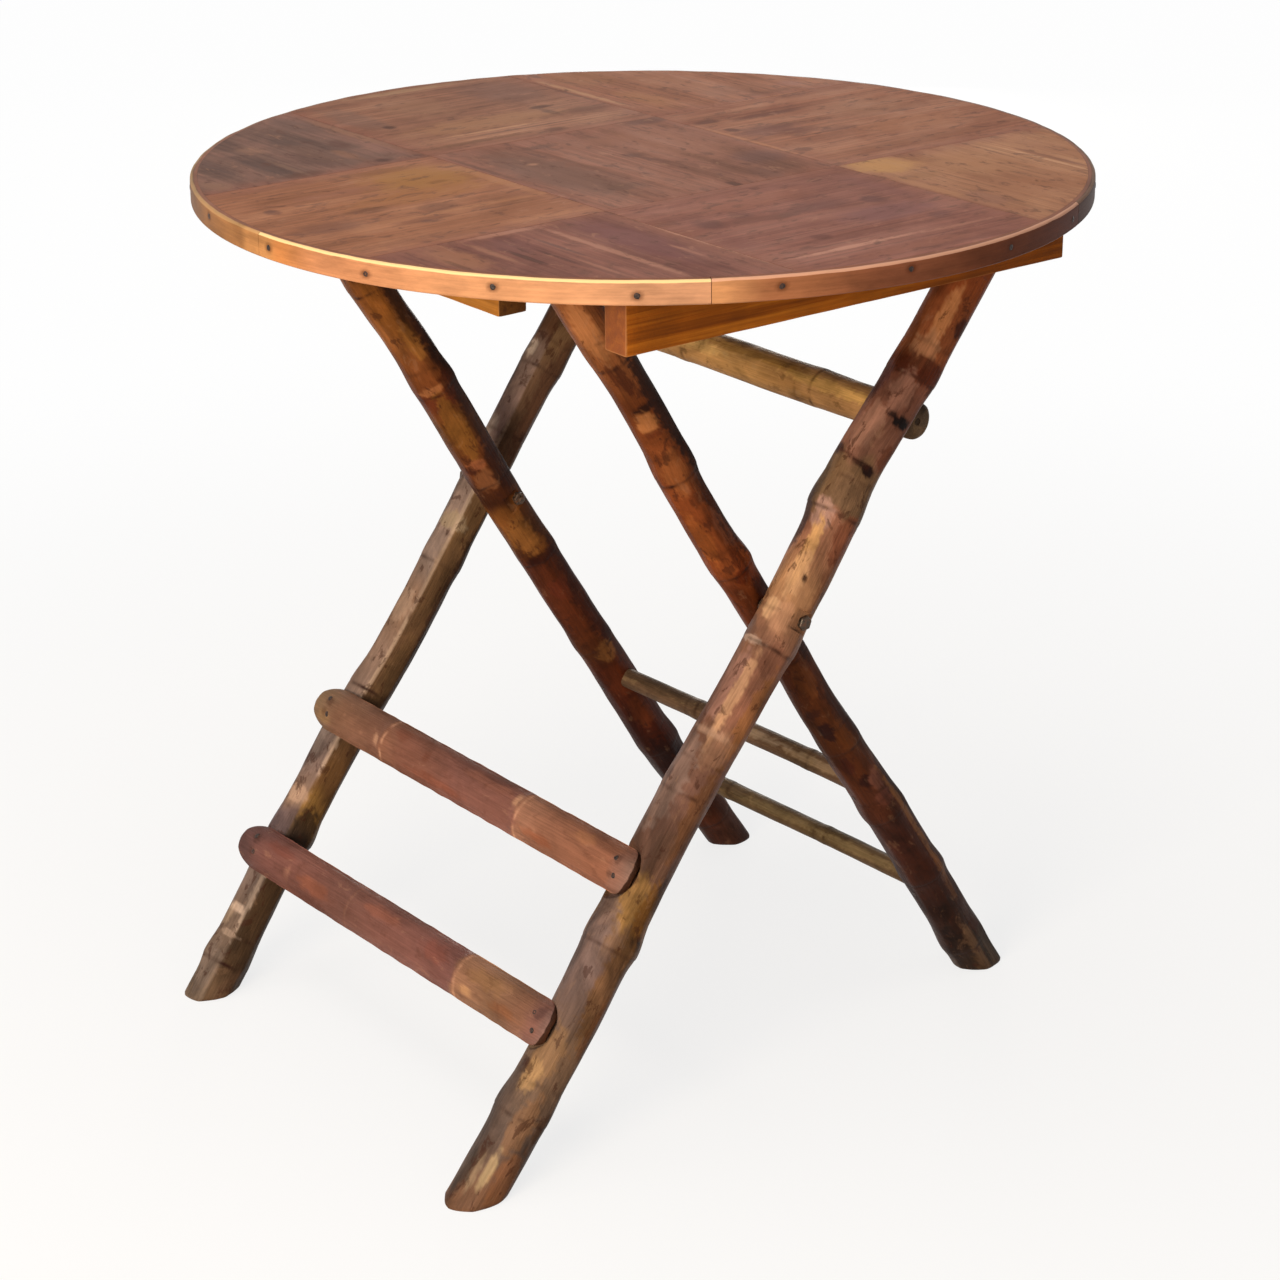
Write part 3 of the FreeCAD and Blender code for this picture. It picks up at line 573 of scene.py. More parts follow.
def soleAt(line, reach):
    # where a side of the leg meets the floor
    return (legs["soleGap"] - line.e1.z * reach) / line.d.z


def pivotFlats(pole, foot):
    # the two flats where bolt and spacer bear
    pivot = joint["leg_fold"]
    s, reach = math.hypot(pivot.x - foot.x, pivot.z), legs["pivotHalf"]
    return [(s - reach, s + reach, 1, sign, pole["pivotFlat"]) for sign in (-1, 1)]


def outerLeg(name, pole, footName):
    # level foot, upper end round about the hinge, flats for bolts, spacers and batten, seats for slats
    foot, hinge = mount[footName], joint["top_tilt"]
    line = legLine(foot, hinge, hinge.z)
    side = 1 if foot.y > 0 else -1
    half = legs["seatHalf"]
    pole["lowZ"] = legs["soleGap"]
    flats = pivotFlats(pole, foot)
    flats.append((*legs["hingeFlatSpan"], 1, side, legs["hingeFlat"]))
    pole["flats"], pole["seats"] = flats, []
    pole["cuts"] = [edge for flat in flats for edge in flat[:2]]
    for slat, s in legs["slatAt"].items():
        near, far = (corner.y / mm - foot.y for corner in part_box(slat))
        pole["seats"].append((s, near + half, far - half, half, legs["seatN"], legs["seatSlope"]))
        pole["cuts"] += [s - half, s + half]

    def ends(angle, r, bow):
        reach = r * math.cos(angle) + bow
        round2 = legs["hingeRound"] ** 2 - reach ** 2
        return soleAt(line, reach), line.length + math.sqrt(max(legs["hingeLeast"] ** 2, round2))

    piece = bambooPole(name, pole, line, culm, "outer_frame", ends)
    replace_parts(piece, name.replace("pole", "leg"))
    return line


def innerLeg(name, pole, footName):
    # level foot, level upper end just under the boards
    foot = mount[footName]
    line = legLine(foot, joint["leg_fold"], legs["undersideZ"])
    pole["flats"] = pivotFlats(pole, foot)
    pole["cuts"] = list(pole["flats"][0][:2])
    topZ = legs["undersideZ"] - legs["restGap"]
    pole["lowZ"], pole["highZ"] = legs["soleGap"], topZ

    def ends(angle, r, bow):
        reach = r * math.cos(angle) + bow
        return soleAt(line, reach), (topZ - line.e1.z * reach) / line.d.z

    piece = bambooPole(name, pole, line, culm, "inner_frame", ends)
    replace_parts(piece, name.replace("pole", "leg"))
    return line


outerLine = outerLeg("pole_outer_near", nearOuter, "foot_outer_near")
outerLeg("pole_outer_far", farOuter, "foot_outer_far")
innerLine = innerLeg("pole_inner_near", nearInner, "foot_inner_near")
innerLeg("pole_inner_far", farInner, "foot_inner_far")
outerNormal = outerLine.e1
print("legs built")


# canes across the frames

def onPlane(line, s, n=0.0):
    # place in the middle of a frame, beside its leg line
    spot = line.at(s, n)
    return Vector((spot.x, 0, spot.z))


def cane(name, rod, line, body, node):
    # rod across a frame; angle 0 is its side away from the leg's face, 90 looks up the leg
    middle = onPlane(line, rod["s"], rod["n"])
    axis = PoleLine(middle + Vector((0, rod["near"], 0)), middle + Vector((0, rod["far"], 0)), line.d)

    def ends(angle, r, bow):
        return 0.0, axis.length

    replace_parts(bambooPole(name, rod, axis, thinCane, body, ends), node)


stretcher = {
    "s": 683.0, "n": -32.5, "near": -202.5, "far": 210.0, "seed": 5.0, "segments": 40, "uneven": 0.5,
    "ridge": 7.0, "wall": 11.0, "hollow": 0.6, "worn": 4.0, "lowZone": 14.0, "highZone": 14.0,
    "endHex": ("#6a5846", "#473a2e"), "nailY": (-193.0, 193.0),
    "girth": ((0, 30.4), (60, 31), (120, 31.8), (300, 31.4), (420, 31.8)),
    "knots": ((112, 0.8, 150), (278, 1.0, -140)),
    "bow": ((0, -2), (60, -1), (200, 0), (300, 0.5), (412, 2)),
    "tint": ((0, "#6a5844"), (10, "#6b5034"), (60, "#9c744a"), (112, "#a47b4e"), (125, "#916b40"),
             (200, "#ac8350"), (278, "#a27a4c"), (330, "#b89060"), (412, "#926c46")),
    "patches": (
        # the dark strip at 98 degrees along the whole rod is painted shade on its upper side, under the boards
        (206, 98, 260, 6, "#40290f", 0.8), (6, 120, 10, 14, "#2c1c10"), (3, 180, 8, 12, "#75644f"),
        (90, 180, 60, 5, "#c39a58", 0.6), (190, 160, 70, 4, "#7d5a28", 0.6),
        (280, -170, 60, 5, "#cba466", 0.6), (240, 130, 50, 4, "#6b4a20", 0.6)),
}
rungCane = {"n": 0.0, "near": -170.0, "far": 170.0, "segments": 32, "uneven": 0.4, "ridge": 5.0,
            "wall": 6.0, "hollow": 3.0, "worn": 1.0, "lowZone": 8.0, "highZone": 8.0}
rungUpper = {
    **rungCane, "s": 243.0, "seed": 6.0,
    "girth": ((0, 18.6), (120, 17.9), (340, 17.4)), "knots": ((70, 1.0, 30), (215, 0.9, -100)),
    "bow": ((0, 2), (120, 0.5), (240, -2.5), (340, -5)),
    "tint": ((0, "#7d5c46"), (40, "#654c38"), (75, "#614a33"), (140, "#6b523f"), (200, "#5a4432"),
             (290, "#634c38"), (340, "#6e5743")),
    # the long dark line at 35 degrees is painted shade along the rung's upper side
    "patches": ((60, 120, 40, 4, "#a38a6c", 0.6), (150, 110, 50, 4, "#94806a", 0.6),
                (250, 100, 60, 4, "#4e3d2c", 0.6), (170, 35, 200, 3, "#3a2a1e", 0.7)),
}
rungLower = {
    **rungCane, "s": 112.0, "seed": 7.0,
    "girth": ((0, 16.8), (340, 16.6)), "knots": ((125, 0.9, 30), (255, 0.9, -100)),
    "bow": ((0, 3), (120, 1), (240, -2), (340, -4)),
    "tint": ((0, "#5c4634"), (60, "#6a543c"), (125, "#675236"), (190, "#5f4a32"), (255, "#6b563c"),
             (340, "#6d5842")),
    # the long dark line at 35 degrees is painted shade along the rung's upper side
    "patches": ((80, 120, 60, 4, "#8e7854", 0.6), (190, 115, 60, 4, "#7f6c4c", 0.6),
                (270, 100, 50, 4, "#46362a", 0.6), (170, 35, 200, 3, "#33261a", 0.7)),
}
cane("cane_stretcher", stretcher, outerLine, "outer_frame", "upper_stretcher")
cane("cane_rung_upper", rungUpper, innerLine, "inner_frame", "rung_upper")
cane("cane_rung_lower", rungLower, innerLine, "inner_frame", "rung_lower")
print("canes built")


# split-bamboo slats; knots are (y, rise, paleness), patches (y, across, half y, half across, colour)

slats = {
    "width": 38.0, "arch": 11.0, "wall": 6.0, "arcPoints": 30, "paleHex": "#c8977a", "cutHex": "#4c342a",
    "innerHex": "#4a2c1c", "patch": 0.55, "steps": {"end": 0.6, "near": 1.0, "round": 2.2, "plain": 3.6},
    "slat_upper": {
        "near": -214.0, "far": 225.0, "skew": 0.0, "seed": 11.0,
        "knots": ((-70.0, 1.0, 0.75), (120.0, 0.8, 0.65)),
        "tint": ((-214, "#826458"), (-200, "#865f50"), (-186, "#8a5b46"), (-120, "#8e604b"),
                 (-72, "#946954"), (-64, "#7d5348"), (10, "#764e44"), (80, "#7c5142"), (118, "#835946"),
                 (126, "#7b5544"), (190, "#7a5743"), (225, "#76604a")),
        "patches": (
            (-150, 8, 16, 5, "#a06d4c"), (-100, -10, 22, 4, "#8d4f33"), (40, -12, 40, 4, "#7d4632"),
            (100, 10, 12, 5, "#754230"), (60, 3, 5, 4, "#6a3b2a"), (-62, 9, 4, 6, "#d8a680"),
            (128, -4, 3, 6, "#cfa080"), (205, -9, 10, 6, "#94744e"), (-20, 9, 40, 4, "#8d5c4b"),
            (206, 5, 5, 4.5, "#3e2418"), (208, -6, 4, 4, "#4c2e20"), (-195, 6, 4, 4, "#4c3228"),
            (-193, -7, 4, 3, "#4c3228"))},
    "slat_lower": {
        "near": -211.0, "far": 228.0, "skew": 3.0, "seed": 12.0,
        "knots": ((-95.0, 1.0, 0.65), (60.0, 0.35, 0.12)),
        "tint": ((-211, "#785a52"), (-196, "#7b554a"), (-178, "#7e5845"), (-140, "#84614a"),
                 (-97, "#926a52"), (-88, "#744d46"), (0, "#734c43"), (60, "#765046"), (130, "#754c42"),
                 (180, "#6b453d"), (228, "#543b38")),
        "patches": (
            (-130, 6, 26, 7, "#946c48"), (-110, -9, 8, 4, "#c39468"), (-160, -8, 16, 5, "#8a5636"),
            (-60, 4, 20, 8, "#7a463a"), (20, 7, 26, 5, "#915946"), (110, -4, 26, 6, "#92573f"),
            (170, 8, 20, 5, "#6a3a2e"), (150, -6, 3, 8, "#9a6a58"), (-198, 7, 6, 5, "#483230"),
            (208, 6, 5, 5, "#38221c"), (206, -6, 4, 4, "#40281f"))},
}
slatHalf = slats["width"] / 2
slatRadius = (slatHalf ** 2 + slats["arch"] ** 2) / (2 * slats["arch"])
slatDrop = slatRadius - slats["arch"]


def slatReach(spec, y):
    # half the slat's width in plan, both ends round
    left = min(spec["far"] - y, y - spec["near"], slatHalf)
    return slatHalf * math.sqrt(max(0.002, 1 - (1 - left / slatHalf) ** 2))


def slatColour(spec, y, u):
    around = Vector((u / 12, y / 26, spec["seed"] + 4))
    colour = colourAt(spec["tint"], y + 9 * noise.noise(around))
    ragged = 0.5 * noise.noise(around * 3.1)
    for place, across, halfY, halfU, hexCode in spec["patches"]:
        span = math.hypot((y - place) / halfY, (u - across) / halfU) + ragged
        colour = mixed(colour, toLinear(hexCode), slats["patch"] * smooth((1.2 - span) / 0.6))
    for place, rise, pale in spec["knots"]:
        line = math.exp(-((y - place + ragged * 2) / 1.4) ** 2) * (0.55 + 1.5 * noise.noise(around * 2.2))
        colour = mixed(colour, toLinear(slats["paleHex"]), max(0.0, min(1.0, pale * line)))
    return colour


def slatRows(spec):
    # places along the slat, closer at its ends and knots
    rows, y = [], spec["near"]
    while y < spec["far"]:
        rows.append(y)
        toKnot = min(abs(y - k[0]) for k in spec["knots"])
        toEnd = min(y - spec["near"], spec["far"] - y)
        near = toKnot < 5 or toEnd < 12
        y += slats["steps"]["end" if toEnd < 3 else "near" if near else "round" if toEnd < 24 else "plain"]
    return rows + [spec["far"] - 0.02]


def splitSlat(name):
    # arch of culm wall on the flats of the outer legs: skin, inner side and the cut edges between
    spec = slats[name]
    origin = onPlane(outerLine, legs["slatAt"][name], legs["seatN"])
    count, innerRadius = slats["arcPoints"], slatRadius - slats["wall"]
    rows = slatRows(spec)
    points, tints, spots = [], [], []
    for y in rows:
        reach, toEnd = slatReach(spec, y), min(y - spec["near"], spec["far"] - y)
        drop = spec["skew"] * (0.5 - (y - spec["near"]) / (spec["far"] - spec["near"]))
        swell = 0.0
        for place, rise, pale in spec["knots"]:
            swell += rise * math.exp(-((y - place - 2.5) / 4.5) ** 2)
            swell -= 0.3 * math.exp(-((y - place) / 1.0) ** 2)
        for i in range(2 * count):
            outside = i < count
            t = -1 + 2 * i / (count - 1) if outside else 1 - 2 * (i - count) / (count - 1)
            u = reach * math.sin(t * math.pi / 2)
            ragged = noise.noise(Vector((t * 2.2, y / 14, spec["seed"])))
            if outside:
                height = math.sqrt(max(0.0, slatRadius ** 2 - u ** 2)) - slatDrop + swell + 0.25 * ragged
                height -= 1.1 * (1 - smooth(toEnd / 2.5)) + 0.8 * smooth((abs(t) - 0.88) / 0.12)
                height = max(height, 0.7)
                u += 0.5 * ragged * smooth((abs(t) - 0.8) / 0.2)
                cut = toEnd < 0.3 or (toEnd < slatHalf and abs(t) > 0.97)
                tints.append(toLinear(slats["cutHex"]) if cut else slatColour(spec, y, u))
            else:
                u *= 0.985
                height = max(0.0, math.sqrt(max(0.0, innerRadius ** 2 - u ** 2)) - slatDrop)
                tints.append(toLinear(slats["innerHex"]))
            points.append(origin + outerLine.d * (u + drop) + Vector((0, y, 0)) + outerNormal * height)
            spots.append(((height + spec["seed"] * 300) * mm, u * mm, y * mm))
    loop = 2 * count
    faces = []
    skinRings(faces, len(rows), loop)
    for base in (0, (len(rows) - 1) * loop):
        for i in range(count - 1):
            faces.append((base + i, base + i + 1, base + loop - 2 - i, base + loop - 1 - i))
    piece = meshPiece("split_" + name, points, faces, splitSkin, "outer_frame")
    keepArrises(piece, 40)
    paint(piece, "tint", "FLOAT_COLOR", tints)
    paint(piece, "ring", "FLOAT", [0.0] * len(points))
    paint(piece, "poleSpot", "FLOAT_VECTOR", spots)
    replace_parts(piece, name)


splitSlat("slat_upper")
splitSlat("slat_lower")
print("slats built")


# table top: sheets of flattened bamboo on boards

def flattenedBamboo(name, sheet):
    # culm split, unrolled and pressed flat, stained and oiled: straight grain, drifting tone, smudges
    material, tree = newMaterial(name)
    place = addNode(tree, "ShaderNodeTexCoord").outputs["Object"]
    seed = sheet["seed"]

    def pattern(alongMm, acrossMm, shift, detail, rough, bend=0.0):
        # drawn out along the sheet's grain
        sizes = (alongMm, acrossMm, 1000) if sheet["grain"] == "x" else (acrossMm, alongMm, 1000)
        return drawnFigure(tree, place, sizes, (seed * shift, seed * shift * 1.7, 0.0), detail, rough, bend)

    grain = pattern(150, sheet.get("grainMm", 3.0), 3.1, 5.0, 0.62)
    strips = pattern(260, 22, 1.0, 2.0, 0.5)
    cloud = pattern(80, 60, 1.7, 6.0, 0.62, 0.6)
    smudge = pattern(26, 11, 4.3, 5.0, 0.66, 0.5)
    specks = pattern(20, 8, 9.0, 3.0, 0.6, 0.3)
    rag = pattern(13, 13, 0.0, 5.0, 0.68)
    tones = addNode(tree, "ShaderNodeMath", {0: strips, 1: cloud}, operation="ADD")
    drift = addNode(tree, "ShaderNodeMath", {0: tones.outputs[0], 1: 0.5}, operation="MULTIPLY")
    dark, mid, light = sheet["tones"]
    colour = addNode(tree, "ShaderNodeValToRGB", {"Fac": drift.outputs[0]},
                     [(0.37, dark), (0.5, mid), (0.63, light)])
    grainTone = addNode(tree, "ShaderNodeMapRange", {"Value": grain, "From Min": 0.3, "From Max": 0.7,
                        "To Min": 0.74, "To Max": 1.2})
    socket = addNode(tree, "ShaderNodeVectorMath", {0: colour.outputs["Color"],
                     "Scale": grainTone.outputs[0]}, operation="SCALE").outputs[0]
    # wear that blurs the joints between the sheets
    spot = addNode(tree, "ShaderNodeSeparateXYZ", {"Vector": place}).outputs
    nearest = 1.0
    for axis, seam in topJoints:
        away = offJoint(tree, spot[axis], seam)
        nearest = addNode(tree, "ShaderNodeMath", {0: away, 1: nearest}, operation="MINIMUM").outputs[0]
    worn = addNode(tree, "ShaderNodeMath", {0: rag, 1: 0.05, 2: nearest}, operation="MULTIPLY_ADD")
    socket = laidOver(tree, socket, toLinear(topWear["jointHex"]), worn.outputs[0], 0.052, 0.016, 0.75)
    # marks and split lines, each an ellipse in mm with a ragged edge
    for x, y, halfX, halfY, hexCode, *force in sheet["marks"]:
        away = addNode(tree, "ShaderNodeVectorMath", {0: place, 1: ((x + topShift) * mm, y * mm, 0.0)},
                       operation="SUBTRACT")
        spread = addNode(tree, "ShaderNodeVectorMath", {0: away.outputs[0],
                         1: (1 / (halfX * mm), 1 / (halfY * mm), 0.0)}, operation="MULTIPLY")
        span = addNode(tree, "ShaderNodeVectorMath", {0: spread.outputs[0]}, operation="LENGTH")
        ragged = addNode(tree, "ShaderNodeMath", {0: rag, 1: 1.1, 2: span.outputs["Value"]},
                         operation="MULTIPLY_ADD")
        socket = laidOver(tree, socket, toLinear(hexCode), ragged.outputs[0], 1.6, 0.9,
                          force[0] if force else topWear["mark"])
    # smudges and small burnt specks along the grain
    for value, low, high, key, strength in ((smudge, 0.54, 0.68, "smudgeHex", sheet.get("smudge", 0.6)),
                                            (smudge, 0.42, 0.3, "rubbedHex", 0.35),
                                            (specks, 0.6, 0.72, "speckHex", 0.5)):
        socket = laidOver(tree, socket, toLinear(topWear[key]), value, low, high, strength)
    gloss = addNode(tree, "ShaderNodeMapRange", {"Value": drift.outputs[0], "From Min": 0.35,
                    "From Max": 0.65, "To Min": 0.58, "To Max": 0.46})
    bump = addNode(tree, "ShaderNodeBump", {"Height": grain, "Strength": 0.3, "Distance": 0.0005})
    shader = addNode(tree, "ShaderNodeBsdfPrincipled", {"Base Color": socket, "IOR": 1.45,
                     "Roughness": gloss.outputs[0], "Normal": bump.outputs[0], "Specular IOR Level": 0.04})
    addNode(tree, "ShaderNodeOutputMaterial", {"Surface": shader.outputs[0]})
    return material


# grain direction, tones from dark to light
# marks are (x, y, half x, half y, colour) in mm and, where not the usual, how strong
topShift = -4.0  # every mark is moved this far in x
topWear = {"jointHex": "#865543", "smudgeHex": "#5c3c30", "rubbedHex": "#a5765c", "speckHex": "#47291f",
           "mark": 0.6}
topJoints = [(axis, edge[axis]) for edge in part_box("veneer_centre") for axis in (0, 1)]
sheets = {
    "veneer_centre": {"grain": "y", "seed": 1.0, "tones": ("#6d4737", "#805240", "#8d5c47"), "marks": [
        (-75, 10, 45, 120, "#6d4e41", 0.7), (60, 40, 55, 90, "#8f5f4a"), (85, -45, 28, 28, "#5f413a"),
        (12, -104, 6, 12, "#4a2c22", 0.85), (-60, -58, 28, 13, "#614335"), (95, 112, 32, 14, "#583b32"),
        (25, 75, 60, 22, "#875945"), (-110, 60, 4, 60, "#5a3c30"), (55, -90, 15, 24, "#694538"),
        (-70, 45, 8, 5, "#a87a60"), (10, 20, 14, 9, "#5f3f33"), (-30, 90, 26, 8, "#5c3d31")]},
    "veneer_left": {"grain": "x", "seed": 2.0, "tones": ("#82543b", "#956144", "#a16b4a"), "marks": [
        (-165, 62, 60, 50, "#9a6a38", 0.8), (-190, 20, 90, 26, "#99653a"), (-310, 42, 9, 11, "#572f22"),
        (-252, 2, 24, 10, "#5f3b29"), (-205, -20, 20, 17, "#6b422f"), (-300, -22, 42, 20, "#6c4535"),
        (-235, -45, 36, 9, "#6c402c"), (-160, 45, 12, 6, "#784d2a"), (-122, 20, 8, 80, "#a8744f", 0.6),
        (-240, 62, 60, 10, "#875843"), (-145, -70, 42, 24, "#8d5b40"), (-260, -90, 70, 12, "#83533a"),
        (-190, -35, 110, 5, "#a36f4b", 0.5), (-180, 100, 50, 10, "#7a4e30")]},
    "veneer_right": {"grain": "x", "seed": 3.0, "tones": ("#7d4d3a", "#905d44", "#9c684c"), "marks": [
        (190, 68, 48, 9, "#5f3628", 0.8), (132, 76, 17, 9, "#573225", 0.8), (150, 22, 42, 23, "#653f38"),
        (128, 40, 8, 9, "#502c22", 0.8), (170, 5, 24, 15, "#683f32"), (130, -48, 11, 9, "#5c3629"),
        (115, 0, 4, 90, "#ac7755"), (260, -30, 70, 34, "#986446"), (275, 40, 60, 40, "#8f6249"),
        (220, -80, 90, 14, "#85563e"), (200, -10, 26, 10, "#6b4232")]},
    "veneer_front": {"grain": "x", "seed": 4.0, "tones": ("#71463a", "#845345", "#905d4c"), "marks": [
        (-40, -299, 78, 5, "#b5806a", 0.8), (55, -302, 50, 4, "#a06e5a"), (-82, -188, 16, 18, "#50302a"),
        (-48, -182, 15, 11, "#623e35"), (62, -205, 13, 14, "#563431"), (-42, -266, 10, 10, "#56312a"),
        (12, -196, 42, 17, "#654039"), (-30, -200, 60, 9, "#6d4437"), (45, -240, 60, 26, "#724a48"),
        (-20, -150, 80, 26, "#8c5946"), (90, -180, 14, 60, "#784b42"), (-10, -325, 90, 12, "#8a5847"),
        (70, -270, 15, 11, "#66413b"), (-100, -240, 18, 30, "#774a40")]},
    "veneer_back": {"grain": "x", "seed": 5.0, "smudge": 0.6, "tones": ("#744e3d", "#865943", "#95654a"),
                    "marks": [
        (-10, 190, 100, 30, "#976a4a", 0.7), (-20, 164, 70, 4, "#b88764"), (-30, 146, 60, 3, "#b18060"),
        (-10, 154, 78, 3, "#67412f"), (-90, 270, 22, 60, "#725244"), (70, 280, 44, 60, "#714f43"),
        (-25, 275, 40, 60, "#90664d"), (-84, 224, 7, 9, "#472b20", 0.85), (60, 210, 14, 7, "#4e2d20", 0.8),
        (-60, 138, 70, 6, "#643f29"), (20, 134, 13, 9, "#523226"), (55, 190, 6, 26, "#664333"),
        (5, 336, 70, 8, "#a07c5c"), (112, 235, 5, 60, "#5a3c30"), (85, 180, 28, 16, "#6a4536")]},
    "veneer_back_left": {"grain": "y", "seed": 6.0, "grainMm": 4.0, "smudge": 0.65,
                         "tones": ("#58423a", "#6e5044", "#80594a"), "marks": [
        (-240, 175, 10, 60, "#4a3731"), (-195, 165, 20, 40, "#4c3228"), (-270, 200, 10, 46, "#564039"),
        (-180, 235, 16, 26, "#523d35"), (-215, 225, 14, 20, "#86624f"), (-150, 200, 10, 22, "#56362b"),
        (-152, 131, 10, 8, "#482a1f", 0.8), (-185, 185, 14, 50, "#6b4c3e"), (-140, 280, 22, 40, "#664b41"),
        (-122, 220, 6, 90, "#8e664e"), (-230, 130, 30, 10, "#583b2e"), (-300, 140, 14, 22, "#835f4a"),
        (-165, 165, 8, 30, "#8a604a"), (-225, 160, 4, 40, "#80604f")]},
    "veneer_back_right": {"grain": "y", "seed": 7.0, "tones": ("#7b4e38", "#8d5940", "#996347"), "marks": [
        (119, 230, 5, 90, "#ad7f5c", 0.7), (230, 160, 40, 30, "#80523c"), (160, 280, 40, 40, "#8e6042"),
        (205, 235, 30, 70, "#96654a"), (250, 135, 40, 8, "#734936"), (150, 180, 20, 50, "#9b6846"),
        (285, 150, 16, 16, "#8a5a4c"), (235, 118, 60, 4, "#ad7a58")]},
    "veneer_front_left": {"grain": "y", "seed": 8.0, "grainMm": 3.6,
                          "tones": ("#633b33", "#774a3d", "#855343"), "marks": [
        (-182, -205, 5, 115, "#a87762", 0.7), (-114, -220, 6, 120, "#b3826a", 0.7),
        (-252, -155, 5, 45, "#9c6c54", 0.6), (-280, -150, 22, 50, "#93634a", 0.85),
        (-215, -114, 42, 6, "#a87660", 0.7), (-240, -178, 4, 36, "#4b2d25", 0.8),
        (-222, -190, 3, 42, "#503028", 0.7), (-205, -170, 3, 40, "#543a32"), (-228, -145, 20, 30, "#6f4740"),
        (-150, -190, 26, 90, "#704644"), (-215, -230, 3, 40, "#9a6a56"), (-140, -235, 3, 30, "#9a6a56"),
        (-290, -172, 4, 30, "#5c3929")]},
    "veneer_front_right": {"grain": "y", "seed": 9.0, "tones": ("#8a5d44", "#9c6c4e", "#a97856"), "marks": [
        (140, -128, 36, 34, "#b48450", 0.8), (106, -140, 4.5, 46, "#cc9c6a", 0.9),
        (145, -103, 42, 3.5, "#c08a4a", 0.75), (255, -192, 3.5, 70, "#bd8d6a", 0.75),
        (262, -195, 5, 66, "#7a4f3c", 0.7), (120, -220, 8, 80, "#ab7a58"), (190, -250, 70, 40, "#99684b"),
        (285, -160, 20, 50, "#96674c"), (140, -172, 30, 12, "#8c6040"), (128, -255, 22, 30, "#8a5f4c"),
        (200, -165, 50, 50, "#a27352")]},
}
for sheetName, sheet in sheets.items():
    dress(sheetName, flattenedBamboo("pressedBamboo_" + sheetName[7:], sheet))
print("top sheets dressed")


pineWear = {"buttHex": "#1e110a", "rubbedHex": "#c08a58"}


def sawnPine(name, board):
    # rough-sawn softwood gone orange-brown: growth bands along the grain, saw marks, duller end grain
    material, tree = newMaterial(name)
    coords = addNode(tree, "ShaderNodeTexCoord").outputs
    place = coords["Object"]

    def along(lengthMm, acrossMm):
        if board["grain"] == "x":
            return lengthMm, acrossMm, acrossMm
        return acrossMm, lengthMm, acrossMm

    grain = drawnFigure(tree, place, along(220, board["bandMm"]), (board["seed"], board["seed"] * 2, 0.0),
                        6.0, 0.6, 0.4)
    cloud = addNode(tree, "ShaderNodeTexNoise", {"Vector": place, "Scale": 1000 / 55, "Detail": 5.0})
    dark, mid, light = board["tones"]
    colour = addNode(tree, "ShaderNodeValToRGB", {"Fac": grain}, [(0.32, dark), (0.5, mid), (0.66, light)])
    cloudTone = addNode(tree, "ShaderNodeMapRange", {"Value": cloud.outputs["Fac"], "From Min": 0.3,
                        "From Max": 0.7, "To Min": 0.72, "To Max": 1.18})
    fibre = drawnFigure(tree, place, along(90, board["fibreMm"]), (0.0, 0.0, 0.0), 3.0, 0.6)
    fibreTone = addNode(tree, "ShaderNodeMapRange", {"Value": fibre, "From Min": 0.3, "From Max": 0.7,
                        "To Min": 0.8, "To Max": 1.2})
    aged = shaded(tree, colour.outputs["Color"], cloudTone.outputs[0], fibreTone.outputs[0])
    facing = addNode(tree, "ShaderNodeSeparateXYZ", {"Vector": coords["Normal"]})
    endwise = addNode(tree, "ShaderNodeMath", {0: facing.outputs[board["grain"].upper()]},
                      operation="ABSOLUTE")
    endTone = addNode(tree, "ShaderNodeVectorMath", {0: toLinear(board["endHex"])[:3],
                      "Scale": cloudTone.outputs[0]}, operation="SCALE")
    socket = laidOver(tree, aged, endTone.outputs[0], endwise.outputs[0], 0.8, 0.95, 0.75, "LINEAR")
    for seam in board.get("joints", ()):
        # dark line where two boards butt
        spot = addNode(tree, "ShaderNodeSeparateXYZ", {"Vector": place})
        away = offJoint(tree, spot.outputs["X"], seam)
        socket = laidOver(tree, socket, toLinear(pineWear["buttHex"]), away, 0.0022, 0.0008, 0.85)
    if "rub" in board:
        # arrises rubbed pale in places
        worn = addNode(tree, "ShaderNodeAttribute", attribute_name="worn").outputs["Fac"]
        ragged = addNode(tree, "ShaderNodeMath", {0: cloud.outputs["Fac"], 1: 1.2, 2: worn},
                         operation="MULTIPLY_ADD")
        socket = laidOver(tree, socket, toLinear(pineWear["rubbedHex"]), ragged.outputs[0], 1.15, 1.6, 0.4,
                          "LINEAR")
    saw = addNode(tree, "ShaderNodeTexNoise", {"Vector": place, "Scale": 1000 / 3, "Detail": 2.0})
    relief = addNode(tree, "ShaderNodeMath", {0: grain, 1: saw.outputs["Fac"]}, operation="ADD")
    bump = addNode(tree, "ShaderNodeBump", {"Height": relief.outputs[0], "Strength": 0.4,
                   "Distance": 0.0006})
    shader = addNode(tree, "ShaderNodeBsdfPrincipled", {"Base Color": socket, "Roughness": 0.64,
                     "Normal": bump.outputs[0], "IOR": 1.45, "Specular IOR Level": 0.15})
    addNode(tree, "ShaderNodeOutputMaterial", {"Surface": shader.outputs[0]})
    return material


boards = {
    "top_board_left": {"bandMm": 9, "seed": 1.0, "tones": ("#5e3c20", "#80542f", "#94683f")},
    "top_board_middle": {"bandMm": 11, "seed": 2.4, "tones": ("#452813", "#633e20", "#784f2e")},
    "top_board_right": {"bandMm": 8, "seed": 3.7, "tones": ("#54341c", "#72492a", "#875d3a")},
}
boardJoints = [edge.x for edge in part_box("top_board_middle")]
for boardName, board in boards.items():
    board.update(grain="y", endHex="#6e4a2c", fibreMm=2.2, joints=boardJoints)
    dress(boardName, sawnPine("sawnPine_" + boardName[4:], board))


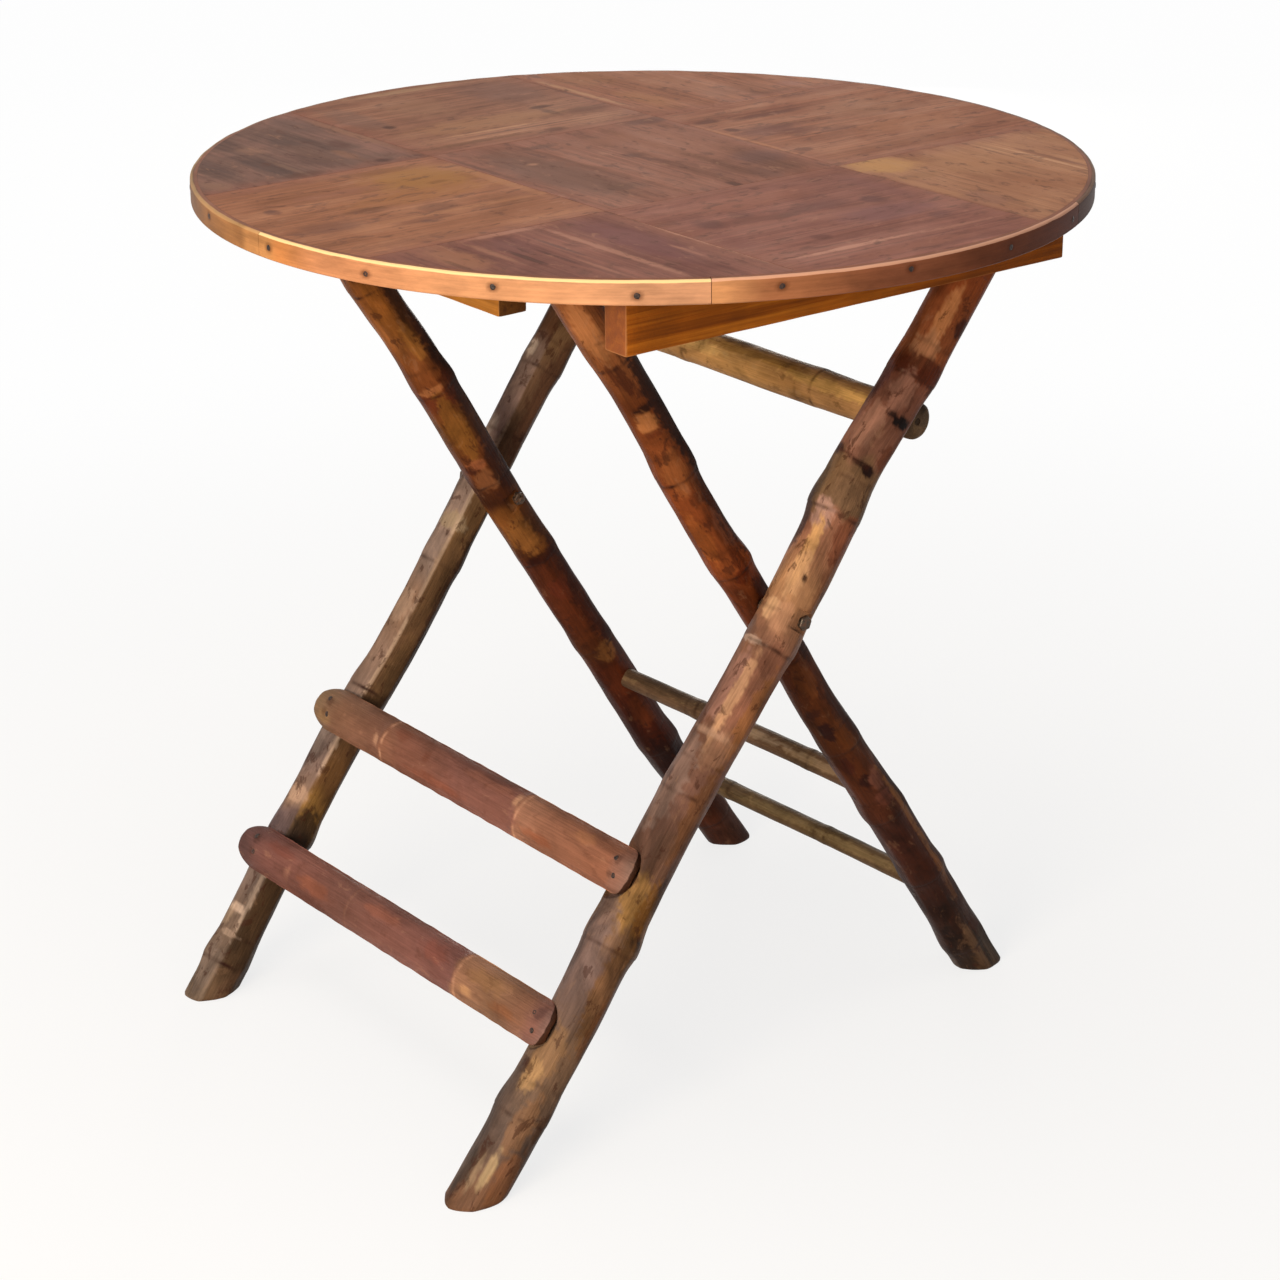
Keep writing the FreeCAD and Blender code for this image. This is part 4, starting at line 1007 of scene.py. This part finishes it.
def lumber(name, bar):
    # square bar with rubbed arrises and a wavering saw cut; its top stays flat against the boards
    low, high = (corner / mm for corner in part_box(bar["node"]))
    size, middle = high - low, (low + high) / 2
    cells = [max(2, round(length / bar["cellMm"])) + 2 for length in size]
    grid, points, faces, worns = {}, [], [], []

    def cut(i, step):
        # evenly spaced, with one narrow cell at each end
        if step in (0, cells[i]):
            return low[i] if step == 0 else high[i]
        return low[i] + bar["rub"] + (size[i] - 2 * bar["rub"]) * (step - 1) / (cells[i] - 2)

    def corner(key):
        if key not in grid:
            p = Vector(cut(i, key[i]) for i in range(3))
            edge = [key[i] in (0, cells[i]) for i in range(3)]
            pull = {2: 0.45, 3: 0.62}.get(sum(edge), 0.0) * bar["wear"]
            wander = 0.35 * abs(noise.noise(p / 40 + Vector((bar["seed"], 0, 0))))
            for i in range(3):
                if edge[i] and not (i == 2 and p.z > middle.z):
                    p[i] -= math.copysign(pull + wander, p[i] - middle[i])
            grid[key] = len(points)
            points.append(p)
            worns.append(1.0 if sum(edge) > 1 else 0.0)
        return grid[key]

    for axis in range(3):
        a, b = [i for i in range(3) if i != axis]
        for end in (0, cells[axis]):
            for i in range(cells[a]):
                for j in range(cells[b]):
                    quad = []
                    for stepA, stepB in ((0, 0), (1, 0), (1, 1), (0, 1)):
                        key = [end, end, end]
                        key[a], key[b] = i + stepA, j + stepB
                        quad.append(corner(tuple(key)))
                    faces.append(tuple(quad))
    piece = meshPiece(name, points, faces, sawnPine("sawnPine_" + name, bar), "table_top")
    keepArrises(piece, 60)
    paint(piece, "worn", "FLOAT", worns)
    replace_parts(piece, bar["node"])


bars = {
    "batten_near": {"grain": "x", "bandMm": 7, "seed": 5.0, "tones": ("#6c370a", "#924f0f", "#ae681c"),
                    "endHex": "#7d4a2f"},
    "batten_far": {"grain": "x", "bandMm": 7, "seed": 6.0, "tones": ("#60310c", "#7d4412", "#96591f"),
                   "endHex": "#7d4a2f"},
    "stop_rail": {"grain": "y", "bandMm": 6, "seed": 7.0, "tones": ("#7a4716", "#a06726", "#b87b34"),
                  "endHex": "#33190a"},
}
for barName, bar in bars.items():
    bar.update(node=barName, fibreMm=1.8, wear=1.0, rub=2.4, cellMm=9)
    lumber("bar_" + barName, bar)
print("boards and bars dressed")


# bent band round the rim, in four strips: colours by angle, and how far the arris is rubbed pale; both also paint
# light and shade, brightest where the band faces the low lamp and darker round to the right

band = {
    "inner": 347.0, "outer": 353.0, "low": legs["undersideZ"], "high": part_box("veneer_centre")[1].z / mm,
    "gapDeg": 0.081, "stepDeg": 0.35, "rub": 2.2, "arris": 0.8, "topHex": "#80533f", "rustHex": "#4a2412",
    "nailFirst": 198.5, "nailCount": 22, "nailLift": (-1.5, 0.5, -2.0, 1.0, 2.0, 0.0, -1.0, 1.5),
    "nailSink": 0.35, "rust": 0.7, "rustReach": 6.5, "rustSoft": 4.5,
    # tones run from bright near 190 to 240 degrees, facing the low lamp, to dark from 299 on: painted light and
    # shade over the strips' own tones; pale and paleHex fall off the same way
    "strips": {
        "rim_strip_1": {"from": 60.0, "to": 180.0, "pale": 0.2, "paleHex": "#efcb92",
                        "tones": ((60, "#6a452c"), (150, "#75543a"), (175.6, "#9a6c42"), (177.4, "#bb8654"))},
        "rim_strip_2": {"from": 180.0, "to": 239.5, "pale": 1.0, "paleHex": "#efcb92",
                        "tones": ((181.6, "#bb8654"), (184, "#c0804c"), (192, "#c68a62"), (215, "#c89168"),
                                  (238, "#c49270"))},
        "rim_strip_3": {"from": 239.5, "to": 299.0, "pale": 0.65, "paleHex": "#e0ac90",
                        "tones": ((240, "#c28c60"), (247, "#996444"), (262, "#7c4c36"), (280, "#643824"),
                                  (298, "#562a1a"))},
        "rim_strip_4": {"from": 299.0, "to": 420.0, "pale": 0.3, "paleHex": "#a88468",
                        "tones": ((299, "#44261a"), (330, "#382418"), (420, "#4c321f"))},
    },
}
band["nails"] = []
for i in range(band["nailCount"]):
    band["nails"].append(((band["nailFirst"] + 360 * i / band["nailCount"]) % 360,
                          (band["low"] + band["high"]) / 2 + band["nailLift"][i % len(band["nailLift"])]))


def bentBamboo(name, strip):
    # split bamboo, skin outwards: long fibres, upper arris rubbed pale and given a painted highlight on the lit
    # strips, rust round the nails
    material, tree = newMaterial(name)
    spot = addNode(tree, "ShaderNodeAttribute", attribute_name="bandSpot").outputs["Vector"]
    tint = addNode(tree, "ShaderNodeAttribute", attribute_name="tint").outputs["Color"]
    worn = addNode(tree, "ShaderNodeAttribute", attribute_name="worn").outputs["Fac"]
    rust = addNode(tree, "ShaderNodeAttribute", attribute_name="rust").outputs["Fac"]
    fibre = drawnFigure(tree, spot, (110, 1.6, 1.6), (0.0, 0.0, 0.0), 4.0, 0.6)
    cloud = drawnFigure(tree, spot, (40, 12, 12), (0.0, 0.0, 0.0), 5.0, 0.62)
    cloudTone = addNode(tree, "ShaderNodeMapRange", {"Value": cloud, "From Min": 0.3, "From Max": 0.7,
                        "To Min": 0.72, "To Max": 1.2})
    fibreTone = addNode(tree, "ShaderNodeMapRange", {"Value": fibre, "From Min": 0.3, "From Max": 0.7,
                        "To Min": 0.88, "To Max": 1.1})
    toned = shaded(tree, tint, cloudTone.outputs[0], fibreTone.outputs[0])
    ragged = addNode(tree, "ShaderNodeMath", {0: cloud, 1: 1.1, 2: worn}, operation="MULTIPLY_ADD")
    rubbedAndLitArris = laidOver(tree, toned, toLinear(strip["paleHex"]), ragged.outputs[0], 0.95, 1.3, strip["pale"])
    rusted = addNode(tree, "ShaderNodeMixRGB", {"Fac": rust, "Color1": rubbedAndLitArris,
                     "Color2": toLinear(band["rustHex"])})
    bump = addNode(tree, "ShaderNodeBump", {"Height": fibre, "Strength": 0.3, "Distance": 0.0006})
    shader = addNode(tree, "ShaderNodeBsdfPrincipled", {"Base Color": rusted.outputs[0], "Roughness": 0.5,
                     "Normal": bump.outputs[0], "IOR": 1.5, "Specular IOR Level": 0.06})
    addNode(tree, "ShaderNodeOutputMaterial", {"Surface": shader.outputs[0]})
    return material


def bandSection():
    # section of the band as (radius, height, how worn), upper outer arris rounded by wear
    low, high, inner, outer = (band[key] for key in ("low", "high", "inner", "outer"))
    rub, arris = band["rub"], band["arris"]
    section = [(inner, low, 0.0), (outer - arris, low, 0.0), (outer, low + arris, 0.0)]
    face = high - rub - low - arris
    section += [(outer, low + arris + face * i / 7, 0.12 if i > 5 else 0.0) for i in range(1, 8)]
    for a in (0.4, 0.8, 1.2):
        section.append((outer - rub + rub * math.cos(a), high - rub + rub * math.sin(a), 1.0))
    return section + [(outer - rub, high, 0.75), (outer - rub - 1.2, high, 0.15), (inner, high, 0.0)]


def nailRust(degrees, r, z):
    # brown bloom in the wood round each nail head
    stain = 0.0
    for nailDeg, nailZ in band["nails"]:
        turn = (degrees - nailDeg + 180) % 360 - 180
        if abs(turn) < 2 and r > band["outer"] - 2:
            span = math.hypot(math.radians(turn) * band["outer"], (z - nailZ) * 1.3)
            stain = max(stain, band["rust"] * smooth((band["rustReach"] - span) / band["rustSoft"]))
    return stain


def bentStrip(name, strip):
    start, stop = strip["from"] + band["gapDeg"] / 2, strip["to"] - band["gapDeg"] / 2
    steps = round((stop - start) / band["stepDeg"])
    high, inner, outer, rub = (band[key] for key in ("high", "inner", "outer", "rub"))
    section = bandSection()
    points, spots, tints, worns, rusts = [], [], [], [], []
    for step in range(steps + 1):
        degrees = start + (stop - start) * step / steps
        angle = math.radians(degrees)
        arc = outer * angle
        dip = 0.5 + 0.5 * noise.noise(Vector((arc / 22, 0.3, 1.7)))
        bulge = noise.noise(Vector((arc / 70, 5.1, 0.2)))
        tone = colourAt(strip["tones"], degrees)
        for r, z, wear in section:
            onTop = z > high - 0.3 and r < outer - rub - 0.5
            if r > inner + 1:
                z -= 0.7 * dip * smooth((z - (high - 6)) / 6)
                r -= 0.25 + 0.25 * bulge + 0.4 * dip * smooth((z - (high - 5)) / 5)
            points.append((r * math.cos(angle), r * math.sin(angle), z))
            spots.append((arc * mm, z * mm, r * mm))
            tints.append(toLinear(band["topHex"]) if onTop else tone)
            worns.append(wear * (0.7 + 0.5 * dip))
            rusts.append(nailRust(degrees, r, z))
    count = len(section)
    faces = []
    skinRings(faces, steps + 1, count)
    faces.append(tuple(range(count)))
    faces.append(tuple(steps * count + i for i in range(count)))
    material = bentBamboo("bentBamboo_" + name, strip)
    piece = meshPiece(name, points, faces, material, "table_top")
    keepArrises(piece, 40)
    paint(piece, "bandSpot", "FLOAT_VECTOR", spots)
    paint(piece, "tint", "FLOAT_COLOR", tints)
    paint(piece, "worn", "FLOAT", worns)
    paint(piece, "rust", "FLOAT", rusts)
    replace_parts(piece, "edge_bands")


for stripName, strip in band["strips"].items():
    bentStrip(stripName, strip)
print("rim band built")


# nails, bolts and screws

def rustyIron(name, look):
    # old iron gone dull: brown bloom over dark metal, a few bright rubbed points
    material, tree = newMaterial(name)
    place = addNode(tree, "ShaderNodeTexCoord").outputs["Object"]
    bloom = addNode(tree, "ShaderNodeTexNoise", {"Vector": place, "Scale": 1000 / look["bloomMm"],
                    "Detail": 5.0, "Roughness": 0.65}).outputs["Fac"]
    colour = addNode(tree, "ShaderNodeValToRGB", {"Fac": bloom},
                     [(0.35, look["metal"]), (0.5, look["dull"]), (0.66, look["rust"])])
    metalness = addNode(tree, "ShaderNodeMapRange", {"Value": bloom, "From Min": 0.42, "From Max": 0.56,
                        "To Min": look["bare"], "To Max": 0.1})
    rough = addNode(tree, "ShaderNodeMapRange", {"Value": bloom, "From Min": 0.4, "From Max": 0.65,
                    "To Min": 0.36, "To Max": 0.8})
    bump = addNode(tree, "ShaderNodeBump", {"Height": bloom, "Strength": 0.5, "Distance": 0.0004})
    shader = addNode(tree, "ShaderNodeBsdfPrincipled", {"Base Color": colour.outputs["Color"],
                     "Metallic": metalness.outputs[0], "Roughness": rough.outputs[0],
                     "Normal": bump.outputs[0]})
    addNode(tree, "ShaderNodeOutputMaterial", {"Surface": shader.outputs[0]})
    return material


nailIron = rustyIron("blackenedNailIron", {"bloomMm": 2.0, "bare": 0.6, "metal": "#2b211c",
                                           "dull": "#241812", "rust": "#4a2a18"})
boltSteel = rustyIron("rustedBoltSteel", {"bloomMm": 3.0, "bare": 0.85, "metal": "#3e372f",
                                          "dull": "#4a392c", "rust": "#573319"})


def turned(profile, at, axis, sides, points, faces, twist=0.0, uneven=0.0):
    # (radius, height) pairs revolved about an axis through a point; six sides make a hexagon
    up = Vector(axis).normalized()
    side = up.orthogonal().normalized()
    other = up.cross(side)
    base = len(points)
    for r, h in profile:
        for i in range(sides):
            a = 2 * math.pi * i / sides + twist
            out = side * math.cos(a) + other * math.sin(a)
            reach = r * (1 + uneven * noise.noise(out * 1.4 + Vector(at)))
            points.append(Vector(at) + up * h + out * reach)
    skinRings(faces, len(profile), sides, base)
    for row in (0, len(profile) - 1):
        faces.append(tuple(base + row * sides + i for i in range(sides)))


# hammered nail: shank in the wood, dished head just proud of it
nail = {"sides": 11, "uneven": 0.3, "lean": 0.05, "twist": 0.37,
        "profile": ((1.1, -14.0), (1.2, -0.5), (2.1, -0.45), (2.3, 0.0), (2.0, 0.35), (1.1, 0.45),
                    (0.4, 0.2))}


def nailSet(name, places, body, node):
    points, faces = [], []
    for i, (at, axis) in enumerate(places):
        tilt = Vector((math.sin(i * 2.3), math.cos(i * 1.7), math.sin(i * 3.1))) * nail["lean"]
        turned(nail["profile"], at, Vector(axis) + tilt, nail["sides"], points, faces, i * nail["twist"],
               nail["uneven"])
    piece = meshPiece(name, points, faces, nailIron, body)
    keepArrises(piece, 45)
    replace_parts(piece, node)


rimPlaces = []
for degrees, z in band["nails"]:
    out = Vector((math.cos(math.radians(degrees)), math.sin(math.radians(degrees)), 0))
    rimPlaces.append((out * (band["outer"] - band["nailSink"]) + Vector((0, 0, z)), out))
nailSet("nails_rim", rimPlaces, "table_top", "edge_band_nails")

slatNails = {"spread": 6.5, "stagger": 3.0, "nearY": -195.0, "farY": 206.0}
slatPlaces = []
for slatS in legs["slatAt"].values():
    axis = onPlane(outerLine, slatS, legs["seatN"] - slatDrop)
    for y in (slatNails["nearY"], slatNails["farY"]):
        for step in (-1, 1):
            lean = math.asin(step * slatNails["spread"] / slatRadius)
            out = outerLine.d * math.sin(lean) + outerNormal * math.cos(lean)
            along = Vector((0, y + step * slatNails["stagger"], 0))
            slatPlaces.append((axis + along + out * slatRadius, out))
nailSet("nails_slats", slatPlaces, "outer_frame", "slat_nails")

back = onPlane(outerLine, stretcher["s"], stretcher["n"] - stretcher["girth"][1][1] / 2)
stretcherPlaces = [(back + Vector((0, y, 0)), -outerNormal) for y in stretcher["nailY"]]
nailSet("nails_stretcher", stretcherPlaces, "outer_frame", "stretcher_nails")

rungPlaces = []
for rod in (rungUpper, rungLower):
    for pole, footName in ((nearInner, "foot_inner_near"), (farInner, "foot_inner_far")):
        skin = poleRadius(pole, rod["s"], 0.0) + curveAt(pole["bow"], rod["s"])
        at = onPlane(innerLine, rod["s"], skin) + Vector((0, mount[footName].y, 0))
        rungPlaces.append((at, innerLine.e1))
nailSet("nails_rungs", rungPlaces, "inner_frame", "rung_nails")

# driven up through battens and rail, heads sunk a little
underNails = {"battenX": (-184.0, -24.0, 136.0), "railY": (-110.0, 0.0, 110.0), "sink": 0.4}
battenPlaces = []
for node in ("batten_near", "batten_far"):
    low, high = (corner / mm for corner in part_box(node))
    for x in underNails["battenX"]:
        battenPlaces.append((Vector((x, (low.y + high.y) / 2, low.z + underNails["sink"])), (0, 0, -1)))
nailSet("nails_battens", battenPlaces, "table_top", "batten_nails")
low, high = (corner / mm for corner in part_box("stop_rail"))
railPlaces = []
for y in underNails["railY"]:
    railPlaces.append((Vector(((low.x + high.x) / 2, y, low.z + underNails["sink"])), (0, 0, -1)))
nailSet("nails_rail", railPlaces, "table_top", "rail_nails")


def fastener(name, node, build):
    points, faces = [], []
    for side in (-1, 1):
        build(side, points, faces)
    piece = meshPiece(name, points, faces, boltSteel, "outer_frame")
    keepArrises(piece, 25)
    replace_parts(piece, node)


# bearing faces out from the middle, near side first
pivotFaces = {"head": {-1: 224.0, 1: 222.75}, "nut": {-1: 149.0, 1: 148.25},
              "spacer": {-1: (179.0, 188.0), 1: (179.75, 189.25)}}
shank = {"radius": 3.0, "pastNut": 8.0, "hingeLong": 50.0, "hingeTip": 2.4}


def pivotAt(side, out):
    return Vector((joint["leg_fold"].x, side * out, joint["leg_fold"].z))


def pivotBolt(side, points, faces):
    # low chamfered hexagon outside, shank through both poles, rounded end past the nut
    at = pivotAt(side, pivotFaces["head"][side])
    head = ((5.8, 0.0), (6.2, 0.4), (6.2, 2.9), (5.4, 3.7), (4.0, 4.0))
    turned(head, at, (0, side, 0), 6, points, faces, 0.4)
    length = pivotFaces["head"][side] - pivotFaces["nut"][side] + shank["pastNut"]
    rod = ((shank["radius"], 0.1), (shank["radius"], 1.2 - length), (2.6, 0.4 - length), (1.8, -length))
    turned(rod, at, (0, side, 0), 20, points, faces)


def pivotNut(side, points, faces):
    at = pivotAt(side, pivotFaces["nut"][side])
    nut = ((5.3, 0.0), (5.7, 0.4), (5.7, 4.4), (5.3, 4.8), (4.0, 5.0))
    turned(nut, at, (0, -side, 0), 6, points, faces, 0.2)


def pivotSpacer(side, points, faces):
    # short turned collar with a groove round it
    low, high = pivotFaces["spacer"][side]
    tall = high - low
    collar = ((7.5, 0.0), (8.0, 0.5), (8.0, tall / 2 - 0.4), (7.7, tall / 2), (8.0, tall / 2 + 0.4),
              (8.0, tall - 0.5), (7.5, tall))
    turned(collar, pivotAt(side, low), (0, side, 0), 40, points, faces)


def hingeScrew(side, points, faces):
    hinge = joint["top_tilt"]
    at = Vector((hinge.x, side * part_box("batten_far")[1].y / mm, hinge.z))
    head = ((6.2, 0.0), (6.8, 0.4), (6.8, 2.4), (6.0, 3.2), (4.4, 3.5))
    turned(head, at, (0, side, 0), 6, points, faces, 0.7)
    long, tip = shank["hingeLong"], shank["hingeLong"] + shank["hingeTip"]
    rod = ((shank["radius"], 0.1), (shank["radius"], -long), (1.6, -tip))
    turned(rod, at, (0, side, 0), 16, points, faces)


fastener("bolts_pivot", "pivot_bolts", pivotBolt)
fastener("nuts_pivot", "pivot_nuts", pivotNut)
fastener("spacers_pivot", "pivot_spacers", pivotSpacer)
fastener("screws_hinge", "hinge_screws", hingeScrew)
print("fasteners made")


# floor, light and camera

def seenRays(tree):
    # 1 where the eye, or a reflection, looks at the backdrop itself
    ray = addNode(tree, "ShaderNodeLightPath").outputs
    direct = addNode(tree, "ShaderNodeMath", {0: ray["Is Camera Ray"], 1: ray["Is Glossy Ray"]},
                     operation="MAXIMUM")
    return addNode(tree, "ShaderNodeMath", {0: direct.outputs[0], 1: ray["Is Transmission Ray"]},
                   operation="MAXIMUM").outputs[0]


stage = {"paperHex": "#f4f2ee", "bounceHex": "#a08a78", "nearGlow": 0.78, "farGlow": 0.98, "half": 20.0,
         "roomHex": "#eef1f6", "roomGlow": 0.28}
paper, tree = newMaterial("paleStudioPaper")  # matt sweep, white to the eye, soft shadow near the feet
seen = seenRays(tree)
spot = addNode(tree, "ShaderNodeTexCoord").outputs["Object"]
away = addNode(tree, "ShaderNodeVectorMath", {0: spot}, operation="LENGTH")
glow = addNode(tree, "ShaderNodeMapRange", {"Value": away.outputs["Value"], "From Min": 0.5,
               "From Max": 2.0, "To Min": stage["nearGlow"], "To Max": stage["farGlow"]},
               interpolation_type="SMOOTHSTEP")
glowSeen = addNode(tree, "ShaderNodeMath", {0: seen, 1: glow.outputs[0]}, operation="MULTIPLY")
paperColour = addNode(tree, "ShaderNodeMixRGB", {"Fac": seen,
                      "Color1": toLinear(stage["bounceHex"]), "Color2": toLinear(stage["paperHex"])})
matt = addNode(tree, "ShaderNodeBsdfDiffuse", {"Color": paperColour.outputs[0]})
white = addNode(tree, "ShaderNodeEmission", {"Color": (1.0, 1.0, 1.0, 1.0), "Strength": 1.0})
both = addNode(tree, "ShaderNodeMixShader", {"Fac": glowSeen.outputs[0], 1: matt.outputs[0],
               2: white.outputs[0]})
addNode(tree, "ShaderNodeOutputMaterial", {"Surface": both.outputs[0]})
half = stage["half"]
floorMesh = bpy.data.meshes.new("studioFloor")
floorMesh.from_pydata([(-half, -half, 0), (half, -half, 0), (half, half, 0), (-half, half, 0)], [],
                      [(0, 1, 2, 3)])
floorMesh.materials.append(paper)
floor = bpy.data.objects.new("studioFloor", floorMesh)
scene.collection.objects.link(floor)

world = bpy.data.worlds.new("softRoom")
scene.world = world
world.use_nodes = True
tree = world.node_tree
tree.nodes.clear()
room = addNode(tree, "ShaderNodeBackground", {"Color": toLinear(stage["roomHex"]),
               "Strength": stage["roomGlow"]})
white = addNode(tree, "ShaderNodeBackground", {"Color": (1.0, 1.0, 1.0, 1.0), "Strength": 1.0})
both = addNode(tree, "ShaderNodeMixShader", {"Fac": seenRays(tree), 1: room.outputs[0],
               2: white.outputs[0]})
addNode(tree, "ShaderNodeOutputWorld", {"Surface": both.outputs[0]})

lamps = {
    "lowSunLeft": {"at": (-3.0, -1.4, 1.15), "aim": (0, 0, 0.4), "size": 1.6, "watts": 120.0,
                   "hex": "#fff0dc"},
    "sky": {"at": (-0.4, 0.0, 3.2), "aim": (0, 0, 0.5), "size": 2.6, "watts": 49.0, "hex": "#fff8f0"},
    "frontFill": {"at": (-0.6, -3.2, 0.6), "aim": (0, 0, 0.4), "size": 1.6, "watts": 9.0,
                  "hex": "#ffe6cc"},
    "backFill": {"at": (2.4, 2.8, 0.5), "aim": (0, 0, 0.4), "size": 0.9, "watts": 30.0, "hex": "#fff2e4"},
}
for lampName, lamp in lamps.items():
    data = bpy.data.lights.new(lampName, "AREA")
    data.size = lamp["size"]
    data.energy = lamp["watts"]
    data.color = toLinear(lamp["hex"])[:3]
    lampObject = bpy.data.objects.new(lampName, data)
    lampObject.location = lamp["at"]
    toward = Vector(lamp["aim"]) - Vector(lamp["at"])
    lampObject.rotation_euler = toward.to_track_quat("-Z", "Y").to_euler()
    scene.collection.objects.link(lampObject)

view = {"eye": (-1.50163, -1.91343, 1.28559), "aim": (-0.06398, -0.07601, 0.35063), "rollDeg": -0.232,
        "lensMm": 88.455}
cameraData = bpy.data.cameras.new("photoCamera")
cameraData.sensor_width = 36.0
cameraData.lens = view["lensMm"]
camera = bpy.data.objects.new("photoCamera", cameraData)
turn = (Vector(view["aim"]) - Vector(view["eye"])).to_track_quat("-Z", "Y").to_matrix().to_4x4()
roll = Matrix.Rotation(math.radians(view["rollDeg"]), 4, "Z")
camera.matrix_world = Matrix.Translation(view["eye"]) @ turn @ roll
scene.collection.objects.link(camera)
scene.camera = camera
scene.view_settings.view_transform = "Standard"
print("stage, lamps and camera set")
